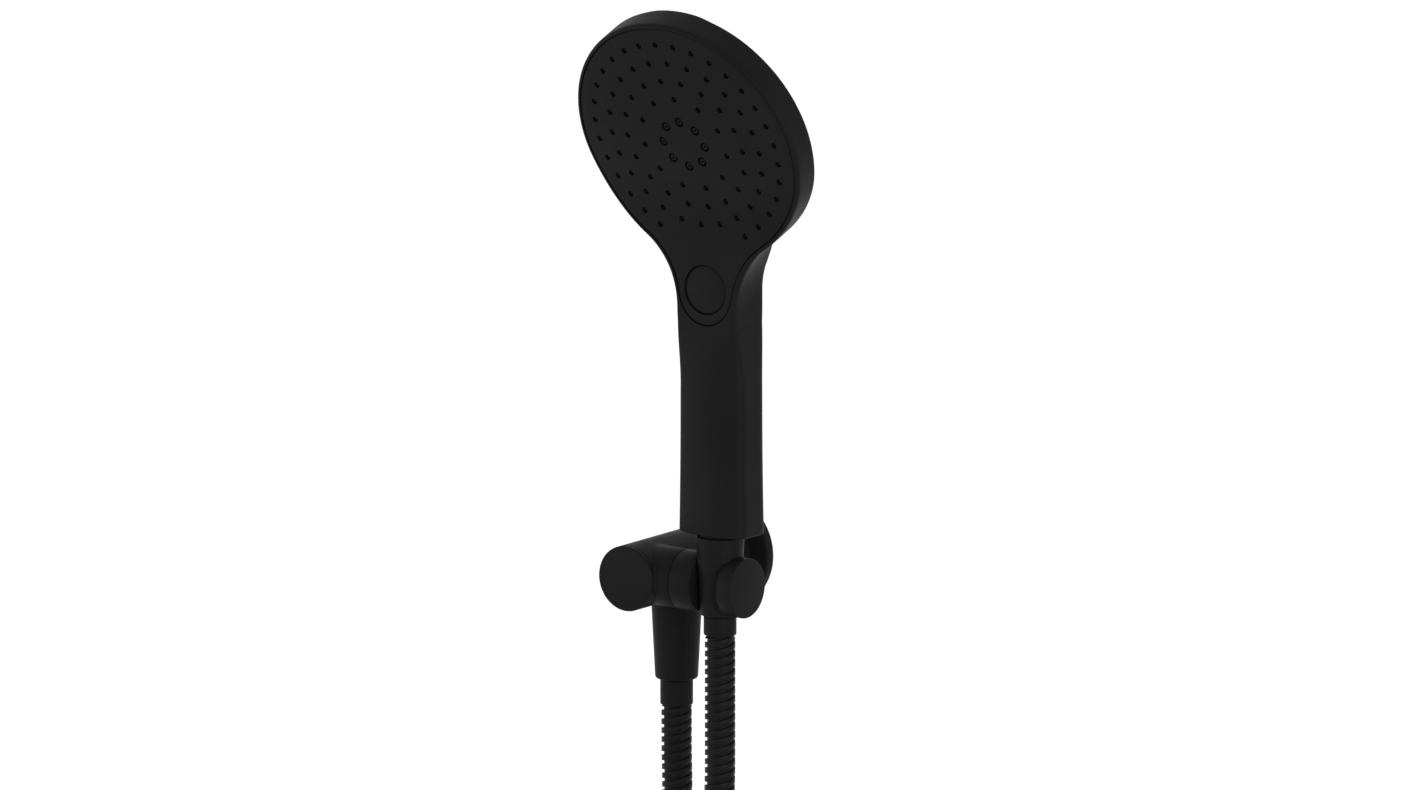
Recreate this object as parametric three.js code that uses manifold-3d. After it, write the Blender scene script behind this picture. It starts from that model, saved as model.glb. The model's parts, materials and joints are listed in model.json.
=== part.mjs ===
// Handheld shower head on a wall elbow with a tilting cradle and a metal hose.
// Millimetres, +Z up. The origin is on the wall plane, on the axis of the elbow, which runs along -Y.
import * as THREE from 'three';
import { mergeVertices } from 'three/addons/utils/BufferGeometryUtils.js';
import Module from 'manifold-3d';

const wasm = await Module();
wasm.setup();

// ---------------------------------------------------------------- driving dimensions
const RUN_GAP = 0.3;              // clearance between pieces that fit each other
const THREAD_RADIUS = 9.9;        // half-inch pipe thread at its pitch diameter

// Wall elbow
const ELBOW_RADIUS = 15.2;
const ELBOW_REACH = 64.2;         // wall to cradle axis
const ELBOW_NOSE = 16.3;          // cradle axis to front face
const ELBOW_ROUND = 0.8;
const CAP_THICKNESS = 2;
const CAP_SPIGOT_LENGTH = 7;
const CAP_SPIGOT_RADIUS = 11;
const FLANGE_RADIUS = 25.3;
const FLANGE_THICKNESS = 4.6;
const FLANGE_ROUND = 1.2;
const FLANGE_RING_SECTION = 1.6;
const INLET_BORE_RADIUS = 10.6;
const WATERWAY_BACK = 3.9;        // outlet axis to the inner end of the inlet bore
const NIPPLE_IN_WALL = 13;
const NIPPLE_CLEAR = 3;           // outlet thread to the wall nipple's inner end
const NIPPLE_RING_IN = 4;         // inner end to the first ring
const NIPPLE_WATERWAY = 6.5;
const NIPPLE_RING_SECTION = 2;
const NIPPLE_RING_SPACING = 7;
const GRUB_RADIUS = 2.5;
const GRUB_LENGTH = 4.4;
const GRUB_FROM_WALL = 11;

// Outlet below the elbow
const OUTLET_BACK = 23.5;         // cradle axis to outlet axis, toward the wall
const OUTLET_BOSS_RADIUS = 13;
const OUTLET_BOSS_DROP = 0.5;     // boss face below the elbow's underside
const OUTLET_SCREWED_DEPTH = 9;
const OUTLET_WATERWAY = 7.6;
const VALVE_CAGE_LENGTH = 11;
const VALVE_CAGE_WALL = 1.3;
const VALVE_SEAT_RADIUS = 3.6;
const POPPET_HEAD_RADIUS = 4.6;
const POPPET_HEAD_THICKNESS = 1.4;
const POPPET_STEM_RADIUS = 1.2;
const POPPET_STEM_LENGTH = 6;

// Cradle
const CRADLE_RADIUS = 13.85;
const CRADLE_SEAM = 22.3;         // elbow axis to swivel seam
const CRADLE_END = 57.5;          // elbow axis to the outer end face
const CRADLE_CAP_THICKNESS = 1.2;
const CRADLE_CAP_SPIGOT_RADIUS = 4.2;
const CRADLE_CAP_SPIGOT_LENGTH = 3.4;
const SOCKET_AXIS = 42;           // elbow axis to handset axis
const SLOT_WIDTH = 15.4;
const PIVOT_RADIUS = 3;
const PIVOT_HEAD_RADIUS = 5.2;
const PIVOT_HEAD_THICKNESS = 2.2;
const PIVOT_DEPTH = 15;           // screwed into the stub
const PIVOT_WEB = 3.4;            // cradle material under the screw head
const WASHER_RADIUS = 11;
const WASHER_THICKNESS = 1.5;

// Hose ends: nut, ferrule, insert and washer, measured down from the nut's open end
const NUT_LENGTH = 37;
const NUT_TAPER = 0.05;           // radius lost per millimetre
const NUT_SHOULDER = 1.4;
const NUT_THREAD_DEPTH = 16.3;
const THREAD_ENTRY = 11.5;
const SEAL_THICKNESS = 1.9;
const INSERT_HEAD_THICKNESS = 2;
const INSERT_RADIUS = 4.4;
const INSERT_WATERWAY = 3.2;
const FERRULE_RADIUS = 7.55;
const FERRULE_LENGTH = 12;
const FERRULE_NECK_RADIUS = 5.6;
const HANDSET_NUT_RADIUS = 11.2;
const OUTLET_NUT_RADIUS = 11.7;

// Hose
const HOSE_RADIUS = 7;
const COIL_RADIUS = 71;           // middle of the coiled turns
const COIL_DROP = 237;            // coil centre below the elbow axis
const COIL_TURNS = 2.5;
const COIL_PITCH = 14.6;
const TIE_WIDTH = 12;
const TIE_THICKNESS = 1.6;

// Handset grip
const HANDSET_FOOT = 24.4;        // cradle axis to the underside of the grip
const NUT_BELOW_FOOT = 1.5;
const GRIP_FRONT = 12.05;         // handset axis to the crown of the front
const GRIP_DEPTH = 24.1;
const GRIP_FOOT_HALF_WIDTH = 17.9;
const GRIP_WAIST_HALF_WIDTH = 16.8;
const GRIP_WAIST_HEIGHT = 62;     // above the underside
const GRIP_NECK_HALF_WIDTH = 16.4;
const GRIP_CROWN_RADIUS = 38;
const GRIP_CORNER = 4;
const GRIP_BORE_RADIUS = 9.6;
const GRIP_BORE_LENGTH = 92;

// Head
const HEAD_RADIUS = 60.8;
const HEAD_HEIGHT = 209.8;        // cradle axis to the crown of the face
const HEAD_FORWARD = 28.2;        // handset axis to the crown of the face
const HEAD_TILT = THREE.MathUtils.degToRad(20.2);
const HEAD_DEPTH = 16.8;
const HEAD_BACK_CROWN = 3.4;
const HEAD_DOME_RADIUS = 580;
const NECK_JOIN = 17.3;           // head centre to where the face starts to curve into the neck
const NECK_FILLET = 36;           // outline of the front, grip to head
const NECK_BACK_FILLET = 20;      // outline of the back edge, grip to head
const SHELL_WALL = 2.6;
const RIM_ROUND = 1.8;
const BACK_ROUND = 1;

// Spray face
const SEAM_MARGIN = 2.1;          // face plate edge inside the shell's outline
const PLATE_THICKNESS = 2;
const PLATE_SUNK = 0.35;          // plate face below the shell's rim
const PLATE_END_HEIGHT = 122.9;   // cradle axis to the plate's lower end
const PLATE_END_RADIUS = 14.4;
const PLATE_FILLET = 36;
const NOZZLE_RADIUS = 1.15;
const NOZZLE_PROUD = 0.9;
const NOZZLE_FIELD_MARGIN = 10.1; // outermost ring of nozzles inside the shell's outline
const NOZZLE_FIELD_INNER = 7.7;   // jet insert's edge to the innermost ring of nozzles
// Each ring of nozzles, from the inside, is [count, first angle in degrees].
const NOZZLE_RINGS = [[11, 90], [18, 0], [24, 0], [32, 5.625]];
const NECK_NOZZLES_LEFT_OUT = 4;  // the outer ring stops where the neck begins
const JET_RING_RADIUS = 11.55;
const JET_COUNT = 8;
const JET_RADIUS = 1.6;
const MAT_RADIUS = HEAD_RADIUS - 7.2;
const MAT_DEPTH = 5.1;            // face of the mat below the head's crown
const MAT_THICKNESS = 1.9;
const JET_INSERT_RADIUS = 15.6;
const DISTRIBUTOR_RADIUS = MAT_RADIUS - 1.6;
const DISTRIBUTOR_THICKNESS = 2.6;
const PORT_RADIUS = 3;
const PORT_RING_RADIUS = 30;
const PORT_COUNT = 6;
const FACE_SEAL_SECTION = 1.8;
const SCREW_RING_RADIUS = DISTRIBUTOR_RADIUS - 9;
const SCREW_COUNT = 3;
const SCREW_HEAD_RADIUS = 2.6;
const SCREW_HEAD_THICKNESS = 1.2;
const SCREW_RADIUS = 1.25;
const SCREW_LENGTH = 6;
const BOSS_RADIUS = 3.6;

// Spray selector
const BUTTON_ABOVE_END = 16.6;    // plate's lower end to button centre
const BUTTON_HEIGHT = PLATE_END_HEIGHT + BUTTON_ABOVE_END;
const BUTTON_RADIUS = 11.4;
const BUTTON_THICKNESS = 2;
const BUTTON_STEM_RADIUS = 3.4;
const BUTTON_STEM_LENGTH = 8.5;
const SPRING_RADIUS = 6.6;
const SPRING_WIRE = 0.5;
const SPRING_TURNS = 3;
const SELECTOR_FRONT = -6.2;      // handset axis to the housing's face
const SELECTOR_DEPTH = 16.2;
const SELECTOR_WIDTH = 23;
const SELECTOR_HEIGHT = 24;
const CAM_RADIUS = 5.6;
const CAM_LENGTH = 5;
const STEM_RING_SECTION = 1.2;

// Waterway in the grip
const SPIGOT_LENGTH = 34;         // inside the grip
const SPIGOT_WATERWAY = 5.6;
const SPIGOT_RING_SECTION = 1.6;
const LIMITER_THICKNESS = 3;
const LIMITER_HOLE = 2.2;
const TUBE_RADIUS = 4.6;
const TUBE_WATERWAY = 3.4;
const TUBE_SOCKET = 6;            // length held in each end fitting
const FEED_RADIUS = 4.6;
const FEED_WATERWAY = 2.6;
const FEED_DEPTH = 11;            // feed axis behind the head's crown
const FEED_ENDS = HEAD_RADIUS - 6.2;  // feed mouth below the head's centre
const SPOUT_IN_HOUSING = 5.5;

// ---------------------------------------------------------------- materials
const finish = (color, roughness, metalness) => new THREE.MeshStandardMaterial({ color, roughness,
    metalness });
const MATT_BLACK = finish(0x1c1d1e, 0.5, 0.3);
const BLACK_PLASTIC = finish(0x202122, 0.55, 0);
const SILICONE = finish(0x151515, 0.7, 0);
const RUBBER = finish(0x0d0d0d, 0.8, 0);
const BRASS = finish(0xb08d45, 0.35, 1);
const STEEL = finish(0xb4b6b8, 0.3, 1);
const WHITE_PLASTIC = finish(0xd9dadb, 0.5, 0);

// ---------------------------------------------------------------- solids
// A geometry as one closed body: shared vertices merged, slivers dropped, faces turned outward.
function closed(geometry) {
  const bare = geometry.clone();
  bare.deleteAttribute('normal');
  bare.deleteAttribute('uv');
  const merged = mergeVertices(bare, 1e-4);
  const place = merged.attributes.position;
  const corner = (i) => new THREE.Vector3().fromBufferAttribute(place, i);
  const kept = [];
  let volume = 0;
  for (let i = 0; i < merged.index.count; i += 3) {
    const [a, b, c] = [0, 1, 2].map((k) => merged.index.getX(i + k));
    if (a === b || b === c || c === a) continue;
    kept.push(a, b, c);
    volume += corner(a).dot(corner(b).cross(corner(c)));
  }
  merged.setIndex(volume > 0 ? kept : kept.reverse());
  return merged;
}

function toManifold(geometry) {
  const body = closed(geometry);
  const vertProperties = new Float32Array(body.attributes.position.array);
  const triVerts = new Uint32Array(body.index.array);
  return new wasm.Manifold(new wasm.Mesh({ numProp: 3, vertProperties, triVerts }));
}

function toGeometry(manifold) {
  const mesh = manifold.getMesh();
  const geometry = new THREE.BufferGeometry();
  geometry.setAttribute('position', new THREE.BufferAttribute(new Float32Array(mesh.vertProperties), 3));
  geometry.setIndex(new THREE.BufferAttribute(new Uint32Array(mesh.triVerts), 1));
  return geometry;
}

const cut = (base, ...tools) => toGeometry(
  tools.reduce((left, tool) => left.subtract(toManifold(tool)), toManifold(base)));
const join = (base, ...others) => toGeometry(
  others.reduce((left, other) => left.add(toManifold(other)), toManifold(base)));

// A body turned about +Z from [radius, height] pairs; a profile off the axis closes on itself.
function turned(profile, segments = 24) {
  const points = profile.map(([radius, height]) => new THREE.Vector2(radius, height));
  const onAxis = profile[0][0] === 0 && profile.at(-1)[0] === 0;
  if (!onAxis) points.push(points[0].clone());
  return new THREE.LatheGeometry(points, segments).rotateX(Math.PI / 2);
}

const rod = (radius, low, high, segments) => turned([[0, low], [radius, low], [radius, high], [0, high]],
    segments);
const pipe = (inner, outer, low, high, segments) =>
  turned([[inner, low], [outer, low], [outer, high], [inner, high]], segments);
const alongX = (geometry) => geometry.rotateY(Math.PI / 2);      // +Z becomes +X
const alongBack = (geometry) => geometry.rotateX(-Math.PI / 2);  // +Z becomes +Y

function block(low, high) {
  const size = high.map((value, i) => value - low[i]);
  return new THREE.BoxGeometry(...size).translate(...low.map((value, i) => value + size[i] / 2));
}

// A body through closed sections of equal count, its ends closed by fans.
function loft(sections) {
  const count = sections[0].length;
  const corners = sections.flat();
  const faces = [];
  for (let s = 0; s + 1 < sections.length; s += 1) {
    for (let i = 0; i < count; i += 1) {
      const [a, b] = [s * count + i, s * count + ((i + 1) % count)];
      faces.push(a, b, b + count, a, b + count, a + count);
    }
  }
  [[0, true], [sections.length - 1, false]].forEach(([s, first]) => {
    const middle = corners.length;
    corners.push(sections[s].reduce((sum, p) => sum.add(p), new THREE.Vector3()).divideScalar(count));
    for (let i = 0; i < count; i += 1) {
      const [a, b] = [s * count + i, s * count + ((i + 1) % count)];
      faces.push(...(first ? [middle, b, a] : [middle, a, b]));
    }
  });
  const geometry = new THREE.BufferGeometry().setFromPoints(corners);
  geometry.setIndex(faces);
  return geometry;
}

function piece(name, geometry, material) {
  const mesh = new THREE.Mesh(closed(geometry), material);
  mesh.name = name;
  return mesh;
}

function assembly(position, ...children) {
  const group = new THREE.Group();
  group.position.set(...position);
  group.add(...children);
  return group;
}

const ringPlaces = (radius, count, start = 0) => Array.from({ length: count }, (_, i) => {
  const angle = start + (i / count) * 2 * Math.PI;
  return [radius * Math.cos(angle), radius * Math.sin(angle)];
});

// ---------------------------------------------------------------- handset surface
// The front surface's centre line runs up the grip, bends forward on the neck and crosses the head's dome.
// Everything here is in handset axes: X across, Y toward the wall, Z up from the cradle axis.
const HEAD_UP = new THREE.Vector3(0, -Math.sin(HEAD_TILT), Math.cos(HEAD_TILT));
const HEAD_OUT = new THREE.Vector3(0, -Math.cos(HEAD_TILT), -Math.sin(HEAD_TILT));
const CROWN = new THREE.Vector3(0, -HEAD_FORWARD, HEAD_HEIGHT);
const domeSag = (distance) => distance ** 2 / (2 * HEAD_DOME_RADIUS);
const onHead = (up, out) => CROWN.clone().addScaledVector(HEAD_UP, up).addScaledVector(HEAD_OUT, out);

const NECK_TURN = HEAD_TILT + Math.asin(NECK_JOIN / HEAD_DOME_RADIUS);
const neckTop = onHead(-NECK_JOIN, -domeSag(NECK_JOIN));
const NECK_RADIUS = (-GRIP_FRONT - neckTop.y) / (1 - Math.cos(NECK_TURN));
const NECK_START = neckTop.z - NECK_RADIUS * Math.sin(NECK_TURN);

// A station on the centre line: its place, the way up and the way out.
function gripStation(height) {
  const place = new THREE.Vector3(0, -GRIP_FRONT, height);
  return { place, up: new THREE.Vector3(0, 0, 1), out: new THREE.Vector3(0, -1, 0) };
}

function neckStation(turn) {
  const forward = NECK_RADIUS * (1 - Math.cos(turn));
  const place = new THREE.Vector3(0, -GRIP_FRONT - forward, NECK_START + NECK_RADIUS * Math.sin(turn));
  const up = new THREE.Vector3(0, -Math.sin(turn), Math.cos(turn));
  return { place, up, out: new THREE.Vector3(0, -Math.cos(turn), -Math.sin(turn)) };
}

const headStation = (up) => ({ place: onHead(up, -domeSag(up)), up: HEAD_UP, out: HEAD_OUT });

const above = (station) => station.place.clone().sub(CROWN).dot(HEAD_UP);
const smooth = THREE.MathUtils.smoothstep;
const mix = THREE.MathUtils.lerp;

const NECK_STEPS = 8;
const HEAD_STEPS = 10;
const neckStations = Array.from({ length: NECK_STEPS }, (_, i) => neckStation((NECK_TURN * i) / NECK_STEPS));

// Head stations crowd toward the top so that the round outline keeps its shape.
function headStations(radius) {
  const first = Math.asin(-NECK_JOIN / radius);
  const last = THREE.MathUtils.degToRad(84);
  return Array.from({ length: HEAD_STEPS + 1 }, (_, i) => headStation(radius * Math.sin(mix(first, last,
      i / HEAD_STEPS))));
}

// Half the width of a round head that runs into a straight grip through a fillet.
function outline(up, radius, straight, fillet) {
  const across = straight + fillet;
  const fillets = -Math.sqrt((radius + fillet) ** 2 - across ** 2);
  if (up <= fillets) return straight;
  const joint = (fillets * radius) / (radius + fillet);
  if (up < joint) return across - Math.sqrt(fillet ** 2 - (up - fillets) ** 2);
  return Math.sqrt(Math.max(radius ** 2 - up ** 2, 0));
}

const GRIP_WAIST = HANDSET_FOOT + GRIP_WAIST_HEIGHT;
function gripHalfWidth(height) {
  const [end, span] = height < GRIP_WAIST
    ? [GRIP_FOOT_HALF_WIDTH, GRIP_WAIST_HEIGHT]
    : [GRIP_NECK_HALF_WIDTH, PLATE_END_HEIGHT - GRIP_WAIST];
  const share = Math.min(((height - GRIP_WAIST) / span) ** 2, 1);
  return mix(GRIP_WAIST_HALF_WIDTH, end, share);
}

// The front falls away from the centre line: a round crown on the grip, the flat dome on the head.
const CROWN_ENDS = [PLATE_END_HEIGHT - 30, PLATE_END_HEIGHT + 8];
function crownSag(x, height) {
  const onFace = smooth(height, ...CROWN_ENDS);
  return (x ** 2 / 2) * mix(1 / GRIP_CROWN_RADIUS, 1 / HEAD_DOME_RADIUS, onFace);
}

const pointOn = (station, x, depth) => station.place.clone().setX(x).addScaledVector(station.out, -depth);
const mirrored = (right) => [...right, ...right.slice(1, -1).reverse().map(([x, depth]) => [-x, depth])];
const sectionAt = (station, right) => mirrored(right).map(([x, depth]) => pointOn(station, x, depth));

// Below these distances from the head's centre the shell is a grip; above them its wall is the head's own.
const HEAD_WALL = [-HEAD_RADIUS - 1.2, -HEAD_RADIUS + 10.8];
const HEAD_BACK = [-HEAD_RADIUS + 3.8, -HEAD_RADIUS + 13.8];
const RIDGE_FADES = [-HEAD_RADIUS - 1.2, -4];
const RIDGE_SLOPE = 5;
function shellSection(station) {
  const up = above(station);
  const height = station.place.z;
  const bar = gripHalfWidth(height);
  const width = outline(up, HEAD_RADIUS, bar, NECK_FILLET);
  const backWidth = outline(up, HEAD_RADIUS, bar, NECK_BACK_FILLET);
  const edge = Math.min(mix(GRIP_CORNER, RIM_ROUND, smooth(height, ...CROWN_ENDS)), width * 0.3);
  const onHead = smooth(up, ...HEAD_BACK);
  const back = Math.min(mix(GRIP_CORNER, BACK_ROUND, onHead), width * 0.3);
  const crown = (x) => HEAD_DEPTH + HEAD_BACK_CROWN * Math.max(1 - (x ** 2 + up ** 2) / HEAD_RADIUS ** 2, 0);
  const ridgeDepth = mix(GRIP_DEPTH, crown(0), smooth(up, ...RIDGE_FADES));
  const edgeDepth = mix(ridgeDepth, HEAD_DEPTH, onHead);
  const ridge = Math.min(bar, width * 0.6);
  const ridgeFoot = mix(backWidth * 0.75, ridge, onHead);
  const ridgeTop = mix(backWidth * 0.4, Math.max(ridge - RIDGE_SLOPE, ridge * 0.6), onHead);
  const front = (x) => [x, crownSag(x, height)];
  const side = crownSag(width - edge, height);
  const out = station.out.clone().lerp(HEAD_OUT, smooth(up, ...HEAD_WALL)).normalize();
  return sectionAt({ ...station, out }, [
    [0, 0], front(width * 0.3), front(width * 0.6), front((width - edge) * 0.86), front(width - edge),
    [width - edge * 0.3, side + edge * 0.3], [width, side + edge],
    [mix(backWidth, width, 0.35), mix(side + edge, edgeDepth - back, 0.5)],
    [backWidth, edgeDepth - back], [backWidth - back * 0.3, edgeDepth - back * 0.3],
    [backWidth - back, edgeDepth],
    [ridgeFoot, mix(ridgeDepth, Math.min(crown(ridgeFoot), ridgeDepth), onHead)],
    [ridgeTop, ridgeDepth], [0, ridgeDepth + 0.6],
  ]);
}

const PLATE_END_CENTRE = PLATE_END_HEIGHT + PLATE_END_RADIUS;
function plateHalfWidth(station, margin) {
  const up = above(station);
  const straight = PLATE_END_RADIUS + margin;
  const full = outline(up, HEAD_RADIUS - SEAM_MARGIN + margin, straight, PLATE_FILLET - margin);
  const below = Math.max(PLATE_END_CENTRE - station.place.z, 0);
  return full * Math.sqrt(Math.max(1 - (below / straight) ** 2, 0));
}

// The face plate's outline grown by a margin, between two depths below the front surface.
function plateBody(margin, front, back) {
  const radius = PLATE_END_RADIUS + margin;
  const round = Array.from({ length: 6 }, (_, i) => {
    const angle = THREE.MathUtils.degToRad(82) * (1 - i / 6);
    return gripStation(PLATE_END_CENTRE - radius * Math.sin(angle));
  });
  const stations = [...round, gripStation(PLATE_END_CENTRE), ...neckStations,
      ...headStations(HEAD_RADIUS - SEAM_MARGIN + margin)];
  return loft(stations.map((station) => {
    const width = plateHalfWidth(station, margin);
    const across = [0, 0.55, 1].map((part) => part * width);
    const faces = (x, depth) => [x, crownSag(x, station.place.z) + depth];
    return sectionAt(station, [...across.map((x) => faces(x, front)),
        ...across.reverse().map((x) => faces(x, back))]);
  }));
}

// Head parts are made with +Z out of the spray face and +Y up the face, then set on the crown.
const onFace = (geometry) => geometry.rotateX(Math.PI / 2 + HEAD_TILT).translate(CROWN.x, CROWN.y, CROWN.z);
const alongNeck = (geometry) => geometry.rotateX(HEAD_TILT).translate(CROWN.x, CROWN.y,
    CROWN.z);  // +Z up the face

function nozzlePlaces() {
  const last = NOZZLE_RINGS.length - 1;
  const inner = JET_INSERT_RADIUS + NOZZLE_FIELD_INNER;
  return NOZZLE_RINGS.flatMap(([count, first], ring) => {
    const outermost = ring === last;
    const radius = mix(inner, HEAD_RADIUS - NOZZLE_FIELD_MARGIN, ring / last);
    return ringPlaces(radius, count, THREE.MathUtils.degToRad(first)).filter(([x, y]) => {
      const fromBottom = Math.abs(Math.atan2(x, -y));
      return !outermost || fromBottom > (NECK_NOZZLES_LEFT_OUT * Math.PI) / count;
    });
  });
}

const nozzleTip = ([x, y]) => NOZZLE_PROUD - PLATE_SUNK - domeSag(Math.hypot(x, y));
const jetPlaces = ringPlaces(JET_RING_RADIUS, JET_COUNT);
const peg = (radius, place, low, high, sides) => rod(radius, low, high, sides).translate(...place, 0);

// ---------------------------------------------------------------- handset
const CAVITY_RADIUS = MAT_RADIUS + RUN_GAP;
const CAVITY_FLOOR = SHELL_WALL - HEAD_DEPTH;
const DISTRIBUTOR_FACE = -(MAT_DEPTH + MAT_THICKNESS + 2.2);
const DISTRIBUTOR_BACK = DISTRIBUTOR_FACE - DISTRIBUTOR_THICKNESS;
const SELECTOR_LOW = BUTTON_HEIGHT - SELECTOR_HEIGHT / 2;
const SELECTOR_HIGH = BUTTON_HEIGHT + SELECTOR_HEIGHT / 2;
const SELECTOR_BACK = SELECTOR_FRONT + SELECTOR_DEPTH;
const SPOUT_ROOT = (HEAD_HEIGHT - SELECTOR_HIGH) / Math.cos(HEAD_TILT) + SPOUT_IN_HOUSING;
const screwPlaces = ringPlaces(SCREW_RING_RADIUS, SCREW_COUNT, Math.PI / 2);

function handsetBody() {
  const neckLength = NECK_START - HANDSET_FOOT - GRIP_WAIST_HEIGHT;
  const heights = [0, 0.9, ...[0.26, 0.58, 1].map((part) => part * GRIP_WAIST_HEIGHT),
    ...[0.25, 0.46, 0.61, 0.75, 0.88].map((part) => GRIP_WAIST_HEIGHT + part * neckLength)]
    .map((up) => HANDSET_FOOT + up);
  const stations = [...heights.map(gripStation), ...neckStations, ...headStations(HEAD_RADIUS)];
  const sections = stations.map(shellSection);
  const middle = new THREE.Vector3(0, 0, HANDSET_FOOT);
  sections[0] = sections[0].map((p) => p.clone().lerp(middle, 0.05).setZ(HANDSET_FOOT));
  const cavity = onFace(rod(CAVITY_RADIUS, CAVITY_FLOOR, 6, 40));
  const hollow = cut(loft(sections), plateBody(RUN_GAP, -8, PLATE_SUNK + PLATE_THICKNESS + RUN_GAP), cavity);
  const bosses = screwPlaces.map((place) => onFace(peg(BOSS_RADIUS, place, CAVITY_FLOOR - 1,
      DISTRIBUTOR_BACK - RUN_GAP, 12)));
  const holes = screwPlaces.map((place) => {
    const end = DISTRIBUTOR_FACE + RUN_GAP - SCREW_LENGTH - RUN_GAP;
    return onFace(peg(SCREW_RADIUS + RUN_GAP / 2, place, end, DISTRIBUTOR_FACE, 10));
  });
  const wide = SELECTOR_WIDTH / 2 + RUN_GAP;
  return cut(join(hollow, ...bosses), ...holes,
    block([-wide, -40, SELECTOR_LOW - RUN_GAP], [wide, SELECTOR_BACK + RUN_GAP, SELECTOR_HIGH + RUN_GAP]),
    alongNeck(rod(FEED_RADIUS + RUN_GAP, -SPOUT_ROOT - 1, -FEED_ENDS + 4, 16).translate(0, FEED_DEPTH, 0)),
    onFace(block([-5, -FEED_ENDS + 1, CAVITY_FLOOR - 2.4], [5, -20, CAVITY_FLOOR + 1])),
    rod(GRIP_BORE_RADIUS, HANDSET_FOOT - 5, HANDSET_FOOT + GRIP_BORE_LENGTH, 32),
    rod(TUBE_RADIUS + RUN_GAP, HANDSET_FOOT + GRIP_BORE_LENGTH - 1, SELECTOR_LOW + 1, 24));
}

function facePlate() {
  const depth = PLATE_SUNK + PLATE_THICKNESS;
  const holes = nozzlePlaces().map((place) => peg(NOZZLE_RADIUS + RUN_GAP, place, -12, 12, 6));
  const jets = jetPlaces.map((place) => peg(JET_RADIUS + RUN_GAP, place, -12, 12, 8));
  const button = alongBack(rod(BUTTON_RADIUS + RUN_GAP, -40, 0, 32)).translate(0, 0, BUTTON_HEIGHT);
  return cut(plateBody(0, PLATE_SUNK, depth), ...[...holes, ...jets].map(onFace), button);
}

function nozzleMat() {
  const disc = pipe(JET_INSERT_RADIUS + RUN_GAP, MAT_RADIUS, -MAT_DEPTH - MAT_THICKNESS, -MAT_DEPTH, 40);
  const passages = screwPlaces.map((place) => peg(SCREW_HEAD_RADIUS + RUN_GAP, place, -20,
      -MAT_DEPTH - MAT_THICKNESS + 0.6, 10));
  const pegs = nozzlePlaces().map((place) => peg(NOZZLE_RADIUS, place, -MAT_DEPTH - 0.5, nozzleTip(place),
      6));
  return onFace(join(cut(disc, ...passages), ...pegs));
}

function jetInsert() {
  const disc = rod(JET_INSERT_RADIUS, -MAT_DEPTH - MAT_THICKNESS, -MAT_DEPTH, 32);
  const pegs = jetPlaces.map((place) => peg(JET_RADIUS, place, -MAT_DEPTH - 0.5, nozzleTip(place), 8));
  const bores = jetPlaces.map((place) => peg(JET_RADIUS / 2, place, -20, 20, 6));
  return onFace(cut(join(disc, ...pegs), ...bores));
}

function distributor() {
  const under = -(MAT_DEPTH + MAT_THICKNESS + RUN_GAP);
  const groove = DISTRIBUTOR_RADIUS - FACE_SEAL_SECTION / 2 + 0.2;
  const plate = turned([[0, DISTRIBUTOR_FACE], [JET_INSERT_RADIUS + 1, DISTRIBUTOR_FACE],
      [JET_INSERT_RADIUS + 1, under],
    [JET_INSERT_RADIUS + 3, under], [JET_INSERT_RADIUS + 3, DISTRIBUTOR_FACE],
        [DISTRIBUTOR_RADIUS - 2.6, DISTRIBUTOR_FACE],
    [DISTRIBUTOR_RADIUS - 2.6, under], [DISTRIBUTOR_RADIUS, under],
        [DISTRIBUTOR_RADIUS, DISTRIBUTOR_FACE + 0.4],
    [groove - 0.6, DISTRIBUTOR_FACE + 0.2], [groove - 0.6, DISTRIBUTOR_BACK + 0.6],
        [DISTRIBUTOR_RADIUS, DISTRIBUTOR_BACK + 0.4],
    [DISTRIBUTOR_RADIUS, DISTRIBUTOR_BACK], [0, DISTRIBUTOR_BACK]], 32);
  const ports = ringPlaces(PORT_RING_RADIUS, PORT_COUNT).map((place) => peg(PORT_RADIUS, place, -20, 0, 12));
  const screws = screwPlaces.map((place) => peg(SCREW_RADIUS + RUN_GAP, place, -20, 0, 10));
  return onFace(cut(plate, ...ports, ...screws, peg(PORT_RADIUS, [0, 0], -20, 0, 12)));
}

const ring = (middle, section, sides = 24) => new THREE.TorusGeometry(middle, section / 2, 5, sides);

function distributorScrew([x, y]) {
  const seat = DISTRIBUTOR_FACE + RUN_GAP;
  return onFace(turned([[0, seat - SCREW_LENGTH], [SCREW_RADIUS, seat - SCREW_LENGTH], [SCREW_RADIUS, seat],
    [SCREW_HEAD_RADIUS, seat], [SCREW_HEAD_RADIUS, seat + SCREW_HEAD_THICKNESS],
    [0, seat + SCREW_HEAD_THICKNESS]], 10).translate(x, y, 0));
}

const BUTTON_FACE = -GRIP_FRONT - 0.5;
const BUTTON_BACK = BUTTON_FACE + BUTTON_THICKNESS + 0.5;
const STEM_END = BUTTON_BACK + BUTTON_STEM_LENGTH;
const onButton = (geometry) => alongBack(geometry).translate(0, 0, BUTTON_HEIGHT);

function diverterButton() {
  return onButton(turned([[0, BUTTON_FACE], [BUTTON_RADIUS * 0.55, BUTTON_FACE + 0.12],
      [BUTTON_RADIUS - 0.7, BUTTON_FACE + 0.5],
    [BUTTON_RADIUS, BUTTON_FACE + 1.1], [BUTTON_RADIUS, BUTTON_BACK], [BUTTON_STEM_RADIUS, BUTTON_BACK],
    [BUTTON_STEM_RADIUS, STEM_END], [0, STEM_END]], 32));
}

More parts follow.
